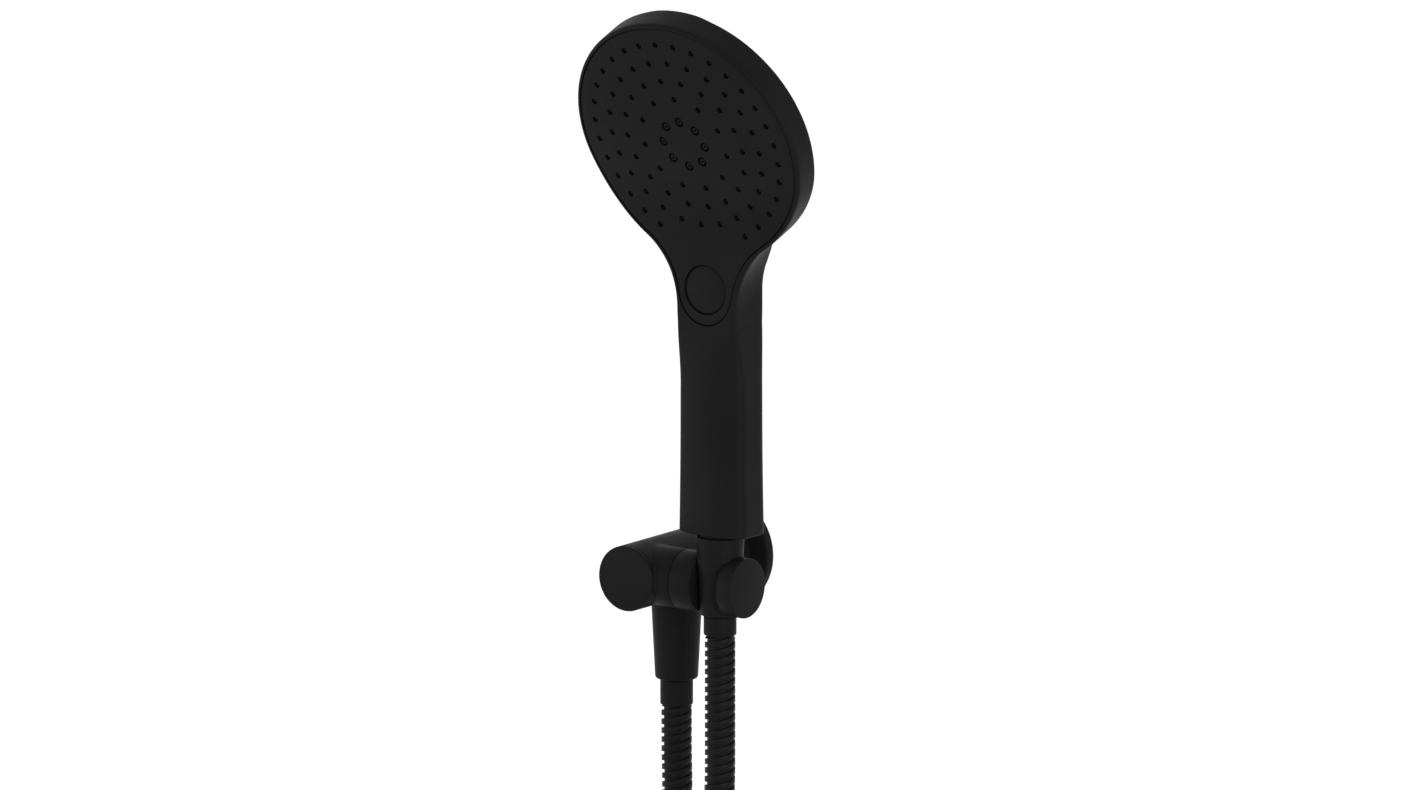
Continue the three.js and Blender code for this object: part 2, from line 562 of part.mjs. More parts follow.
// A closed coil of round wire about +Z between two heights.
function coilSpring(radius, wire, low, high, turns) {
  class Helix extends THREE.Curve {
    getPoint(t) {
      const angle = t * turns * 2 * Math.PI;
      return new THREE.Vector3(radius * Math.cos(angle), radius * Math.sin(angle), mix(low + wire / 2,
          high - wire / 2, t));
    }
  }
  const shape = new THREE.Shape(new THREE.Path().absarc(0, 0, wire / 2, 0, 2 * Math.PI).getPoints(1.5));
  return new THREE.ExtrudeGeometry(shape, { steps: turns * 8, extrudePath: new Helix(),
      bevelEnabled: false });
}

function selectorHousing() {
  const box = block([-SELECTOR_WIDTH / 2, SELECTOR_FRONT, SELECTOR_LOW],
      [SELECTOR_WIDTH / 2, SELECTOR_BACK, SELECTOR_HIGH]);
  const spout = alongNeck(rod(FEED_RADIUS, -SPOUT_ROOT, -FEED_ENDS, 20).translate(0, FEED_DEPTH, 0));
  const spoutBore = alongNeck(rod(FEED_WATERWAY, -SPOUT_ROOT - 4, -FEED_ENDS + 1, 16).translate(0,
      FEED_DEPTH, 0));
  const seal = BUTTON_STEM_RADIUS + STEM_RING_SECTION + RUN_GAP * 2;
  return cut(join(box, spout), spoutBore,
    onButton(rod(BUTTON_STEM_RADIUS + RUN_GAP, SELECTOR_FRONT - 1, STEM_END + 2.6, 20)),
    onButton(rod(seal, SELECTOR_FRONT - 1, SELECTOR_FRONT + STEM_RING_SECTION + RUN_GAP * 2, 20)),
    onButton(rod(CAM_RADIUS + RUN_GAP, STEM_END + 2.2, STEM_END + 2.2 + CAM_LENGTH + RUN_GAP * 2, 24)),
    rod(TUBE_RADIUS + RUN_GAP, SELECTOR_LOW - 1, SELECTOR_LOW + TUBE_SOCKET, 24),
    rod(TUBE_WATERWAY, SELECTOR_LOW, BUTTON_HEIGHT - 2, 20));
}

function selectorCam() {
  const low = STEM_END + 2.2 + RUN_GAP;
  const drum = onButton(rod(CAM_RADIUS, low, low + CAM_LENGTH, 20));
  return cut(drum, rod(1.6, BUTTON_HEIGHT - 9, BUTTON_HEIGHT + 9, 8).translate(2.6, low + CAM_LENGTH / 2, 0));
}

const SPIGOT_FOOT = HANDSET_FOOT - NUT_BELOW_FOOT - THREAD_ENTRY;
const SPIGOT_TOP = HANDSET_FOOT + SPIGOT_LENGTH;
const SPIGOT_RADIUS = GRIP_BORE_RADIUS - RUN_GAP;
const SPIGOT_RING_HEIGHT = SPIGOT_TOP - 7;
function inletSpigot() {
  const groove = SPIGOT_RADIUS - SPIGOT_RING_SECTION;
  const limiter = SPIGOT_WATERWAY + 1;
  const socket = SPIGOT_TOP - TUBE_SOCKET;
  return turned([[limiter, SPIGOT_FOOT], [THREAD_RADIUS, SPIGOT_FOOT], [THREAD_RADIUS, HANDSET_FOOT - 1.9],
    [SPIGOT_RADIUS, HANDSET_FOOT - 1.9], [SPIGOT_RADIUS, SPIGOT_RING_HEIGHT - 1.1],
        [groove, SPIGOT_RING_HEIGHT - 1.1],
    [groove, SPIGOT_RING_HEIGHT + 1.1], [SPIGOT_RADIUS, SPIGOT_RING_HEIGHT + 1.1],
        [SPIGOT_RADIUS, SPIGOT_TOP],
    [TUBE_RADIUS + RUN_GAP, SPIGOT_TOP], [TUBE_RADIUS + RUN_GAP, socket], [TUBE_WATERWAY, socket],
    [TUBE_WATERWAY, socket - 3], [SPIGOT_WATERWAY, socket - 5],
        [SPIGOT_WATERWAY, SPIGOT_FOOT + LIMITER_THICKNESS + RUN_GAP * 2],
    [limiter, SPIGOT_FOOT + LIMITER_THICKNESS + RUN_GAP * 2]], 24);
}

const handset = [
  piece('handset_body', handsetBody(), MATT_BLACK),
  piece('spray_face_plate', facePlate(), MATT_BLACK),
  piece('rain_nozzle_mat', nozzleMat(), SILICONE),
  piece('jet_nozzle_insert', jetInsert(), BLACK_PLASTIC),
  piece('spray_distributor', distributor(), WHITE_PLASTIC),
  piece('distributor_seal', onFace(ring(DISTRIBUTOR_RADIUS + 0.5, FACE_SEAL_SECTION, 28)
    .translate(0, 0, DISTRIBUTOR_FACE - DISTRIBUTOR_THICKNESS / 2)), RUBBER),
  ...screwPlaces.map((place, i) => piece(`distributor_screw_${i + 1}`, distributorScrew(place), STEEL)),
  piece('diverter_button', diverterButton(), MATT_BLACK),
  piece('button_spring', onButton(coilSpring(SPRING_RADIUS, SPRING_WIRE, BUTTON_BACK + RUN_GAP,
      SELECTOR_FRONT - RUN_GAP,
    SPRING_TURNS)), STEEL),
  piece('button_seal', onButton(ring(BUTTON_STEM_RADIUS + STEM_RING_SECTION / 2 + RUN_GAP,
      STEM_RING_SECTION, 20)
    .translate(0, 0, SELECTOR_FRONT + STEM_RING_SECTION / 2 + RUN_GAP)), RUBBER),
  piece('selector_housing', selectorHousing(), WHITE_PLASTIC),
  piece('selector_cam', selectorCam(), BLACK_PLASTIC),
  piece('water_tube', pipe(TUBE_WATERWAY, TUBE_RADIUS, SPIGOT_TOP - TUBE_SOCKET + RUN_GAP,
    SELECTOR_LOW + TUBE_SOCKET - RUN_GAP, 24), WHITE_PLASTIC),
  piece('inlet_spigot', inletSpigot(), BRASS),
  piece('spigot_ring', ring(SPIGOT_RADIUS - SPIGOT_RING_SECTION / 2, SPIGOT_RING_SECTION, 24)
    .translate(0, 0, SPIGOT_RING_HEIGHT), RUBBER),
  piece('flow_limiter', pipe(LIMITER_HOLE, SPIGOT_WATERWAY + 1 - RUN_GAP, SPIGOT_FOOT + RUN_GAP,
    SPIGOT_FOOT + RUN_GAP + LIMITER_THICKNESS, 20), BLACK_PLASTIC),
];

// ---------------------------------------------------------------- hose ends
// A union nut with its seal, insert and ferrule, made hanging from its open end at height zero.
const nutRadius = (top, down) => top - NUT_TAPER * down;
const FERRULE_END = NUT_LENGTH + RUN_GAP + FERRULE_LENGTH;

function unionNut(top) {
  const waist = FERRULE_NECK_RADIUS + RUN_GAP;
  const foot = nutRadius(top, NUT_LENGTH);
  return turned([[waist, -NUT_LENGTH], [foot - NUT_SHOULDER, -NUT_LENGTH],
      [foot - NUT_SHOULDER * 0.3, -NUT_LENGTH + NUT_SHOULDER * 0.3],
    [nutRadius(top, NUT_LENGTH - NUT_SHOULDER), -NUT_LENGTH + NUT_SHOULDER], [top, 0],
        [THREAD_RADIUS + RUN_GAP, 0],
    [THREAD_RADIUS + RUN_GAP, -NUT_THREAD_DEPTH], [waist, -NUT_THREAD_DEPTH]], 28);
}

const SEAL_TOP = -THREAD_ENTRY - RUN_GAP;
const INSERT_TOP = SEAL_TOP - SEAL_THICKNESS - RUN_GAP;
const hoseSeal = () => pipe(INSERT_RADIUS + 1.4, THREAD_RADIUS - RUN_GAP, SEAL_TOP - SEAL_THICKNESS,
    SEAL_TOP, 20);

function hoseInsert() {
  return turned([[INSERT_WATERWAY, -FERRULE_END + 1], [INSERT_RADIUS, -FERRULE_END + 1],
      [INSERT_RADIUS, INSERT_TOP - INSERT_HEAD_THICKNESS],
    [THREAD_RADIUS - 0.5, INSERT_TOP - INSERT_HEAD_THICKNESS], [THREAD_RADIUS - 0.5, INSERT_TOP],
        [INSERT_WATERWAY, INSERT_TOP]], 16);
}

function ferrule() {
  const low = -FERRULE_END;
  const bore = INSERT_RADIUS + RUN_GAP;
  return turned([[bore, low], [FERRULE_RADIUS - 0.6, low], [FERRULE_RADIUS, low + 0.6],
      [FERRULE_RADIUS, -NUT_LENGTH - RUN_GAP],
    [FERRULE_NECK_RADIUS, -NUT_LENGTH - RUN_GAP],
        [FERRULE_NECK_RADIUS, INSERT_TOP - INSERT_HEAD_THICKNESS - RUN_GAP],
    [bore, INSERT_TOP - INSERT_HEAD_THICKNESS - RUN_GAP]], 20);
}

const HANDSET_NUT_TOP = HANDSET_FOOT - NUT_BELOW_FOOT;
const OUTLET_FACE = -ELBOW_RADIUS - OUTLET_BOSS_DROP;
const OUTLET_NUT_TOP = OUTLET_FACE - 0.5;

const hoseEnd = (prefix, radius) => [
  piece(`${prefix}_nut`, unionNut(radius), MATT_BLACK),
  piece(`${prefix}_washer`, hoseSeal(), RUBBER),
  piece(`${prefix}_insert`, hoseInsert(), BRASS),
  piece(`${prefix}_ferrule`, ferrule(), MATT_BLACK),
];

// ---------------------------------------------------------------- wall elbow
const BODY_FRONT = -ELBOW_NOSE + CAP_THICKNESS + RUN_GAP;
const BODY_BACK = ELBOW_REACH - 0.8;
const NIPPLE_RADIUS = INLET_BORE_RADIUS - RUN_GAP;
const INLET_BORE_END = OUTLET_BACK + WATERWAY_BACK;
const NIPPLE_INNER = OUTLET_BACK + THREAD_RADIUS + NIPPLE_CLEAR;
const GRUB_FROM_CRADLE = ELBOW_REACH - GRUB_FROM_WALL;
const THREAD_BORE = THREAD_RADIUS + RUN_GAP;

function elbowBody() {
  const barrel = alongBack(turned([[0, BODY_FRONT], [ELBOW_RADIUS - ELBOW_ROUND, BODY_FRONT],
      [ELBOW_RADIUS, BODY_FRONT + ELBOW_ROUND],
    [ELBOW_RADIUS, BODY_BACK], [0, BODY_BACK]], 32));
  const stub = alongX(rod(CRADLE_RADIUS, 0, CRADLE_SEAM - RUN_GAP / 2, 32));
  const boss = rod(OUTLET_BOSS_RADIUS, OUTLET_FACE, 0, 32).translate(0, OUTLET_BACK, 0);
  return cut(join(barrel, stub, boss),
    alongBack(rod(CAP_SPIGOT_RADIUS + RUN_GAP, BODY_FRONT - 1, BODY_FRONT + CAP_SPIGOT_LENGTH, 32)),
    alongBack(rod(INLET_BORE_RADIUS, INLET_BORE_END, BODY_BACK + 1, 32)),
    alongBack(rod(OUTLET_WATERWAY, OUTLET_BACK - 6, INLET_BORE_END + 1, 24)),
    rod(THREAD_BORE, OUTLET_FACE - 1, OUTLET_FACE + OUTLET_SCREWED_DEPTH + RUN_GAP, 32).translate(0,
        OUTLET_BACK, 0),
    rod(OUTLET_WATERWAY, OUTLET_FACE, 2, 24).translate(0, OUTLET_BACK, 0),
    rod(GRUB_RADIUS + RUN_GAP, -ELBOW_RADIUS - 1, 0, 16).translate(0, GRUB_FROM_CRADLE, 0),
    alongX(rod(PIVOT_RADIUS + RUN_GAP, CRADLE_SEAM - PIVOT_DEPTH, CRADLE_SEAM + 1, 20)));
}

function frontCap() {
  return alongBack(turned([[0, -ELBOW_NOSE], [ELBOW_RADIUS - ELBOW_ROUND, -ELBOW_NOSE],
      [ELBOW_RADIUS, -ELBOW_NOSE + ELBOW_ROUND],
    [ELBOW_RADIUS, BODY_FRONT - RUN_GAP], [CAP_SPIGOT_RADIUS, BODY_FRONT - RUN_GAP],
    [CAP_SPIGOT_RADIUS, BODY_FRONT + CAP_SPIGOT_LENGTH - RUN_GAP],
        [0, BODY_FRONT + CAP_SPIGOT_LENGTH - RUN_GAP]], 32));
}

function wallFlange() {
  const front = ELBOW_REACH - FLANGE_THICKNESS;
  const bore = ELBOW_RADIUS + RUN_GAP;
  const groove = bore + FLANGE_RING_SECTION + 0.2;
  return alongBack(turned([[bore, front], [FLANGE_RADIUS - FLANGE_ROUND, front],
      [FLANGE_RADIUS - FLANGE_ROUND * 0.3, front + FLANGE_ROUND * 0.3],
    [FLANGE_RADIUS, front + FLANGE_ROUND], [FLANGE_RADIUS, ELBOW_REACH], [groove, ELBOW_REACH],
    [groove, ELBOW_REACH - FLANGE_RING_SECTION - 0.4], [bore, ELBOW_REACH - FLANGE_RING_SECTION - 0.4]], 32));
}

function wallNipple() {
  const groove = NIPPLE_RADIUS - NIPPLE_RING_SECTION;
  const profile = [[NIPPLE_WATERWAY, NIPPLE_INNER], [NIPPLE_RADIUS, NIPPLE_INNER]];
  nippleRings.forEach((middle) => {
    profile.push([NIPPLE_RADIUS, middle - 1.3], [groove, middle - 1.3], [groove, middle + 1.3],
        [NIPPLE_RADIUS, middle + 1.3]);
  });
  profile.push([NIPPLE_RADIUS, ELBOW_REACH - 0.4], [THREAD_RADIUS, ELBOW_REACH - 0.4],
    [THREAD_RADIUS, ELBOW_REACH + NIPPLE_IN_WALL], [NIPPLE_WATERWAY, ELBOW_REACH + NIPPLE_IN_WALL]);
  return alongBack(turned(profile, 24));
}

const nippleRings = [0, 1].map((i) => NIPPLE_INNER + NIPPLE_RING_IN + i * NIPPLE_RING_SPACING);
const NIPPLE_RING_MIDDLE = NIPPLE_RADIUS - NIPPLE_RING_SECTION / 2;

// Outlet fittings hang from the boss face at height zero.
const NIPPLE_LOW = OUTLET_NUT_TOP - OUTLET_FACE - THREAD_ENTRY;
const NIPPLE_HIGH = OUTLET_SCREWED_DEPTH;
const CAGE_RADIUS = OUTLET_WATERWAY - RUN_GAP;
const CAGE_LOW = NIPPLE_LOW + 1.5;
const CAGE_HIGH = CAGE_LOW + VALVE_CAGE_LENGTH;
const POPPET_TOP = CAGE_HIGH - VALVE_CAGE_WALL - RUN_GAP;
const GUIDE_RADIUS = 2.7;

function outletNipple() {
  return turned([[OUTLET_WATERWAY - 1.6, NIPPLE_LOW], [THREAD_RADIUS, NIPPLE_LOW],
      [THREAD_RADIUS, NIPPLE_HIGH], [OUTLET_WATERWAY, NIPPLE_HIGH],
    [OUTLET_WATERWAY, CAGE_LOW - RUN_GAP], [OUTLET_WATERWAY - 1.6, CAGE_LOW - RUN_GAP]], 32);
}

function valveCage() {
  const inner = CAGE_RADIUS - VALVE_CAGE_WALL;
  return turned([[GUIDE_RADIUS, CAGE_LOW], [CAGE_RADIUS, CAGE_LOW], [CAGE_RADIUS, CAGE_HIGH],
      [VALVE_SEAT_RADIUS, CAGE_HIGH],
    [VALVE_SEAT_RADIUS, CAGE_HIGH - VALVE_CAGE_WALL], [inner, CAGE_HIGH - VALVE_CAGE_WALL],
        [inner, CAGE_LOW + VALVE_CAGE_WALL],
    [GUIDE_RADIUS, CAGE_LOW + VALVE_CAGE_WALL]], 24);
}

function valvePoppet() {
  const under = POPPET_TOP - POPPET_HEAD_THICKNESS;
  return turned([[0, under - POPPET_STEM_LENGTH], [POPPET_STEM_RADIUS, under - POPPET_STEM_LENGTH],
      [POPPET_STEM_RADIUS, under],
    [POPPET_HEAD_RADIUS, under], [POPPET_HEAD_RADIUS, POPPET_TOP], [0, POPPET_TOP]], 20);
}

const outletValve = [
  piece('outlet_nipple', outletNipple(), BRASS),
  piece('check_valve_cage', valveCage(), WHITE_PLASTIC),
  piece('check_valve_poppet', valvePoppet(), BLACK_PLASTIC),
  piece('check_valve_spring', coilSpring(GUIDE_RADIUS + 0.9, SPRING_WIRE,
      CAGE_LOW + VALVE_CAGE_WALL + RUN_GAP,
    POPPET_TOP - POPPET_HEAD_THICKNESS - RUN_GAP, SPRING_TURNS + 1), STEEL),
];

const elbow = [
  piece('elbow_body', elbowBody(), MATT_BLACK),
  piece('front_cap', frontCap(), MATT_BLACK),
  piece('wall_flange', wallFlange(), MATT_BLACK),
  piece('flange_ring', alongBack(ring(ELBOW_RADIUS + RUN_GAP + FLANGE_RING_SECTION / 2, FLANGE_RING_SECTION,
      28)
    .translate(0, 0, ELBOW_REACH - FLANGE_RING_SECTION / 2 - 0.1)), RUBBER),
  piece('wall_nipple', wallNipple(), BRASS),
  ...nippleRings.map((middle, i) => piece(`nipple_ring_${i + 1}`,
    alongBack(ring(NIPPLE_RING_MIDDLE, NIPPLE_RING_SECTION).translate(0, 0, middle)), RUBBER)),
  piece('grub_screw', rod(GRUB_RADIUS, -ELBOW_RADIUS + 0.3, -ELBOW_RADIUS + 0.3 + GRUB_LENGTH, 12)
    .translate(0, GRUB_FROM_CRADLE, 0), STEEL),
];

// ---------------------------------------------------------------- cradle
const WEB_START = CRADLE_SEAM + RUN_GAP / 2 + WASHER_THICKNESS + RUN_GAP;
const WEB_END = WEB_START + PIVOT_WEB;
const CAP_INSIDE = CRADLE_END - CRADLE_CAP_THICKNESS;

function cradleBody() {
  const barrel = alongX(rod(CRADLE_RADIUS, CRADLE_SEAM + RUN_GAP / 2, CAP_INSIDE - RUN_GAP, 32));
  const down = (height) => HANDSET_NUT_TOP - height;
  const high = CRADLE_RADIUS + 1;
  const socket = turned([[0, -high], [nutRadius(HANDSET_NUT_RADIUS, down(-high)) + RUN_GAP, -high],
    [nutRadius(HANDSET_NUT_RADIUS, down(high)) + RUN_GAP, high], [0, high]], 40).translate(SOCKET_AXIS, 0, 0);
  return cut(barrel, socket,
    block([SOCKET_AXIS - SLOT_WIDTH / 2, -CRADLE_RADIUS - 1, -high], [SOCKET_AXIS + SLOT_WIDTH / 2, 0, high]),
    alongX(rod(WASHER_RADIUS + RUN_GAP, CRADLE_SEAM - 1, WEB_START, 32)),
    alongX(rod(PIVOT_RADIUS + RUN_GAP, WEB_START - 1, WEB_END + 1, 20)),
    alongX(rod(PIVOT_HEAD_RADIUS + RUN_GAP, WEB_END, SOCKET_AXIS, 24)),
    alongX(rod(CRADLE_CAP_SPIGOT_RADIUS + RUN_GAP, CAP_INSIDE - CRADLE_CAP_SPIGOT_LENGTH - RUN_GAP,
        CAP_INSIDE + 1, 20)));
}

function cradleCap() {
  return alongX(turned([[0, CAP_INSIDE - CRADLE_CAP_SPIGOT_LENGTH],
      [CRADLE_CAP_SPIGOT_RADIUS, CAP_INSIDE - CRADLE_CAP_SPIGOT_LENGTH],
    [CRADLE_CAP_SPIGOT_RADIUS, CAP_INSIDE], [CRADLE_RADIUS, CAP_INSIDE], [CRADLE_RADIUS, CRADLE_END - 0.4],
    [CRADLE_RADIUS - 0.4, CRADLE_END], [0, CRADLE_END]], 32));
}

function pivotScrew() {
  return alongX(turned([[0, CRADLE_SEAM - PIVOT_DEPTH + RUN_GAP],
      [PIVOT_RADIUS, CRADLE_SEAM - PIVOT_DEPTH + RUN_GAP],
    [PIVOT_RADIUS, WEB_END + RUN_GAP], [PIVOT_HEAD_RADIUS, WEB_END + RUN_GAP],
        [PIVOT_HEAD_RADIUS, WEB_END + RUN_GAP + PIVOT_HEAD_THICKNESS],
    [0, WEB_END + RUN_GAP + PIVOT_HEAD_THICKNESS]], 20));
}

const cradle = [
  piece('cradle', cradleBody(), MATT_BLACK),
  piece('cradle_cap', cradleCap(), MATT_BLACK),
  piece('pivot_screw', pivotScrew(), STEEL),
  piece('friction_washer', alongX(pipe(PIVOT_RADIUS + RUN_GAP, WASHER_RADIUS, CRADLE_SEAM + RUN_GAP / 2,
    CRADLE_SEAM + RUN_GAP / 2 + WASHER_THICKNESS, 32)), WHITE_PLASTIC),
];

// ---------------------------------------------------------------- hose
const COIL_MIDDLE = SOCKET_AXIS / 2;
const COIL_BACK = OUTLET_BACK / 2;
const COIL_HALF_DEPTH = (COIL_PITCH * COIL_TURNS) / 2;

// A strand's route from its top to the coil: [out to the side, share of the way to the coil's edge, height].
// The first height is counted from the ferrule; the tube stops above the coil.
const STRAND_ROUTE = [
  [0, 0, -60], [0, 0, -85], [0, 0, -110], [5.2, 0.15, -134], [15, 0.3, -148], [25, 0.45, -158.5],
      [35.5, 0.6, -170],
  [43, 0.75, -181],
];
const STRAND_END_INSIDE = 4;       // the strand's inner side against the coil's, where the tube stops

function strandLine(top, side) {
  const edge = COIL_BACK - side * COIL_HALF_DEPTH;
  const inside = COIL_RADIUS - HOSE_RADIUS - STRAND_END_INSIDE;
  const stop = -COIL_DROP + Math.sqrt((COIL_RADIUS + HOSE_RADIUS) ** 2 - inside ** 2) + RUN_GAP;
  const end = [COIL_RADIUS - SOCKET_AXIS / 2 - 3.2, 0.85, stop];
  const route = [...STRAND_ROUTE, end].map(([out, share, height]) =>
    new THREE.Vector3(top.x + side * out, mix(top.y, edge, share), height));
  return new THREE.CatmullRomCurve3([top, ...route.filter((point) => point.z < top.z - HOSE_RADIUS)]);
}

function strand(top, side) {
  const circle = new THREE.Shape(new THREE.Path().absarc(0, 0, HOSE_RADIUS, 0, 2 * Math.PI).getPoints(4));
  return new THREE.ExtrudeGeometry(circle, { steps: 12, extrudePath: strandLine(top, side),
      bevelEnabled: false });
}

function coilRing() {
  const [low, high] = [COIL_BACK - COIL_HALF_DEPTH - HOSE_RADIUS, COIL_BACK + COIL_HALF_DEPTH + HOSE_RADIUS];
  const [inner, outer] = [COIL_RADIUS - HOSE_RADIUS, COIL_RADIUS + HOSE_RADIUS];
  const soft = HOSE_RADIUS * 0.6;
  const profile = [[inner, low + soft], [inner + soft, low], [outer - soft, low], [outer, low + soft],
    [outer, high - soft], [outer - soft, high], [inner + soft, high], [inner, high - soft]];
  return alongBack(turned(profile, 24)).translate(COIL_MIDDLE, 0, -COIL_DROP);
}

const handsetStrandTop = new THREE.Vector3(SOCKET_AXIS, 0, HANDSET_NUT_TOP - FERRULE_END - RUN_GAP);
const outletStrandTop = new THREE.Vector3(0, OUTLET_BACK, OUTLET_NUT_TOP - FERRULE_END - RUN_GAP);

function coilTie() {
  const slack = RUN_GAP + 0.6;
  const [front, back] = [COIL_BACK - COIL_HALF_DEPTH - HOSE_RADIUS - slack,
      COIL_BACK + COIL_HALF_DEPTH + HOSE_RADIUS + slack];
  const [low, high] = [COIL_RADIUS - HOSE_RADIUS - slack, COIL_RADIUS + HOSE_RADIUS + slack];
  const frame = (grow, half) => block([-half, front - grow, low - grow], [half, back + grow, high + grow]);
  return cut(frame(TIE_THICKNESS, TIE_WIDTH / 2), frame(0, TIE_WIDTH)).translate(COIL_MIDDLE, 0, -COIL_DROP);
}

const hose = [
  piece('hose_handset_run', strand(handsetStrandTop, 1), MATT_BLACK),
  piece('hose_outlet_run', strand(outletStrandTop, -1), MATT_BLACK),
  piece('hose_coil', coilRing(), MATT_BLACK),
  piece('hose_tie', coilTie(), RUBBER),
];

// ---------------------------------------------------------------- whole part
const part = assembly([0, -ELBOW_REACH, 0],
  ...elbow,
  ...cradle,
  assembly([0, OUTLET_BACK, OUTLET_FACE], ...outletValve),
  assembly([0, OUTLET_BACK, OUTLET_NUT_TOP], ...hoseEnd('outlet', OUTLET_NUT_RADIUS)),
  assembly([SOCKET_AXIS, 0, HANDSET_NUT_TOP], ...hoseEnd('handset', HANDSET_NUT_RADIUS)),
  assembly([SOCKET_AXIS, 0, 0], ...handset),
  ...hose,
);

export default new THREE.Group().add(part);
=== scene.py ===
"""Handheld shower head on a wall elbow with a tilting cradle and a metal hose."""

import json
from bisect import bisect_left
from math import acos, asin, atan2, ceil, cos, pi, radians, sin, sqrt, tan

import bmesh
import bpy
from mathutils import Matrix, Vector


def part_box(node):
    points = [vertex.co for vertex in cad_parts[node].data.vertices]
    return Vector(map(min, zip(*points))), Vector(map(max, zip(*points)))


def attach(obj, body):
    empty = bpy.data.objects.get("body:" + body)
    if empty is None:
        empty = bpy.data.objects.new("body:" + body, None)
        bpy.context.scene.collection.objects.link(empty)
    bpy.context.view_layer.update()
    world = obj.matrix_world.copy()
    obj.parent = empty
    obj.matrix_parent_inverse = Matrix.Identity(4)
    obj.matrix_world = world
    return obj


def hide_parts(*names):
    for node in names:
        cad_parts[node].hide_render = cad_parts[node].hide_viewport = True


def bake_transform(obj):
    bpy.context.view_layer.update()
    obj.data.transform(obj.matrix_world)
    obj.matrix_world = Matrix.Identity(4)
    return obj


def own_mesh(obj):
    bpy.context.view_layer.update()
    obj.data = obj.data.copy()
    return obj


bl_info = {
    "name": "Handheld shower head",
    "version": (1, 0, 0),
    "blender": (4, 5, 0),
    "location": "View3D > Sidebar > Shower",
    "description": "Builds the shower head, wall elbow, cradle and hose around the packed frame",
    "category": "Object",
}

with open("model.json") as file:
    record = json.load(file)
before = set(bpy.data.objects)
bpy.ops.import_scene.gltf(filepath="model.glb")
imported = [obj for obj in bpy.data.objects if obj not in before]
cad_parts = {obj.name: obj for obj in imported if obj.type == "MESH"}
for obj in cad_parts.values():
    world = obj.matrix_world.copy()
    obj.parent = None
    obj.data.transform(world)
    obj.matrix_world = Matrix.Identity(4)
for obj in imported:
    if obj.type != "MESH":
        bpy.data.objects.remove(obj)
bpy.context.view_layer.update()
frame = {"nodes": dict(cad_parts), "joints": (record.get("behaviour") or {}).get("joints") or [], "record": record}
NODES = frame["nodes"]
JOINTS = {joint["name"]: joint for joint in frame["joints"]}
MM = 0.001


# ------------------------------------------------------------------ places taken from the frame
def joint_place(name):
    """A hinge's centre in millimetres, in the row frame."""
    return Vector(JOINTS[name]["pos_m"]) / MM


HANDSET_AXIS = joint_place("handset_turn")
BUTTON_CENTRE = joint_place("selector_turn")
SOCKET_X = HANDSET_AXIS.x
AXIS_Y = HANDSET_AXIS.y
RUN_GAP = 0.3                      # clearance between neighbouring pieces


def top_of(node):
    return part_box(node)[1][2] / MM


# ------------------------------------------------------------------ user settings
def number(label, text, default, **limits):
    return bpy.props.FloatProperty(name=label, description=text, default=default, **limits)


def length(label, text, default):
    return number(label, text, default, min=0.0, unit="LENGTH", precision=5)


def factor(label, text, default):
    return number(label, text, default, min=0.0, max=1.0, subtype="FACTOR")


def colour(label, text, default):
    return bpy.props.FloatVectorProperty(
        name=label, description=text, default=default, size=3, min=0.0, max=1.0, subtype="COLOR")


class ShowerHandsetSettings(bpy.types.PropertyGroup):
    seam_round: length("Seam round", "Round on the edge of the face plate's seam", 0.0006)
    nozzle_radius: length("Nozzle radius", "Radius of a rain nozzle's tip", 0.0006)
    nozzle_hole: length("Nozzle hole radius", "Radius of the hole round a rain nozzle", 0.0015)
    nozzle_sunk: length("Nozzle sunk", "How far a nozzle's tip stays below the plate", 0.0009)
    jet_radius: length("Jet radius", "Radius of a centre jet's tip", 0.0015)
    jet_hole: length("Jet hole radius", "Radius of the hole round a centre jet", 0.0024)
    button_dome: length("Button dome", "Rise of the button's face at its centre", 0.0015)


class ShowerBracketSettings(bpy.types.PropertyGroup):
    edge_round: length("Edge round", "Round on the turned edges", 0.0008)
    stub_fillet: length("Stub fillet", "Fillet where the cradle's stub meets the barrel", 0.0015)
    jaw_bevel: length("Jaw bevel", "Broken edge round the cradle's socket and slot", 0.00035)
    thread_pitch: length("Thread pitch", "Pitch of the wall nipple's pipe thread", 0.001814)


class ShowerHoseSettings(bpy.types.PropertyGroup):
    coil_turns: number("Coil turns", "Turns the spare hose is wound into", 2.5, min=0.5)
    band_spacing: length("Band spacing", "One spiral band and its groove, along the hose", 0.0042)
    groove_width: length("Groove width", "Width of the groove between two bands", 0.0014)
    groove_depth: length("Groove depth", "Depth of the groove between two bands", 0.0011)
    sides: bpy.props.IntProperty(
        name="Sides", description="Sides round the hose", default=32, min=1)


class ShowerFinishSettings(bpy.types.PropertyGroup):
    black: colour("Matt black", "Coating of the handset and the elbow", (0.0082, 0.0082, 0.0084))
    black_roughness: factor("Black roughness", "Roughness of the matt black coating", 0.46)
    hose_black: colour("Hose black", "Coating of the hose", (0.0075, 0.0075, 0.0077))
    silicone: colour("Silicone", "Rain nozzles", (0.004, 0.004, 0.004))
    white: colour("White plastic", "Inner mouldings", (0.7, 0.71, 0.72))
    brass: colour("Brass", "Machined fittings", (0.43, 0.27, 0.06))
    steel: colour("Steel", "Screws and springs", (0.46, 0.47, 0.48))


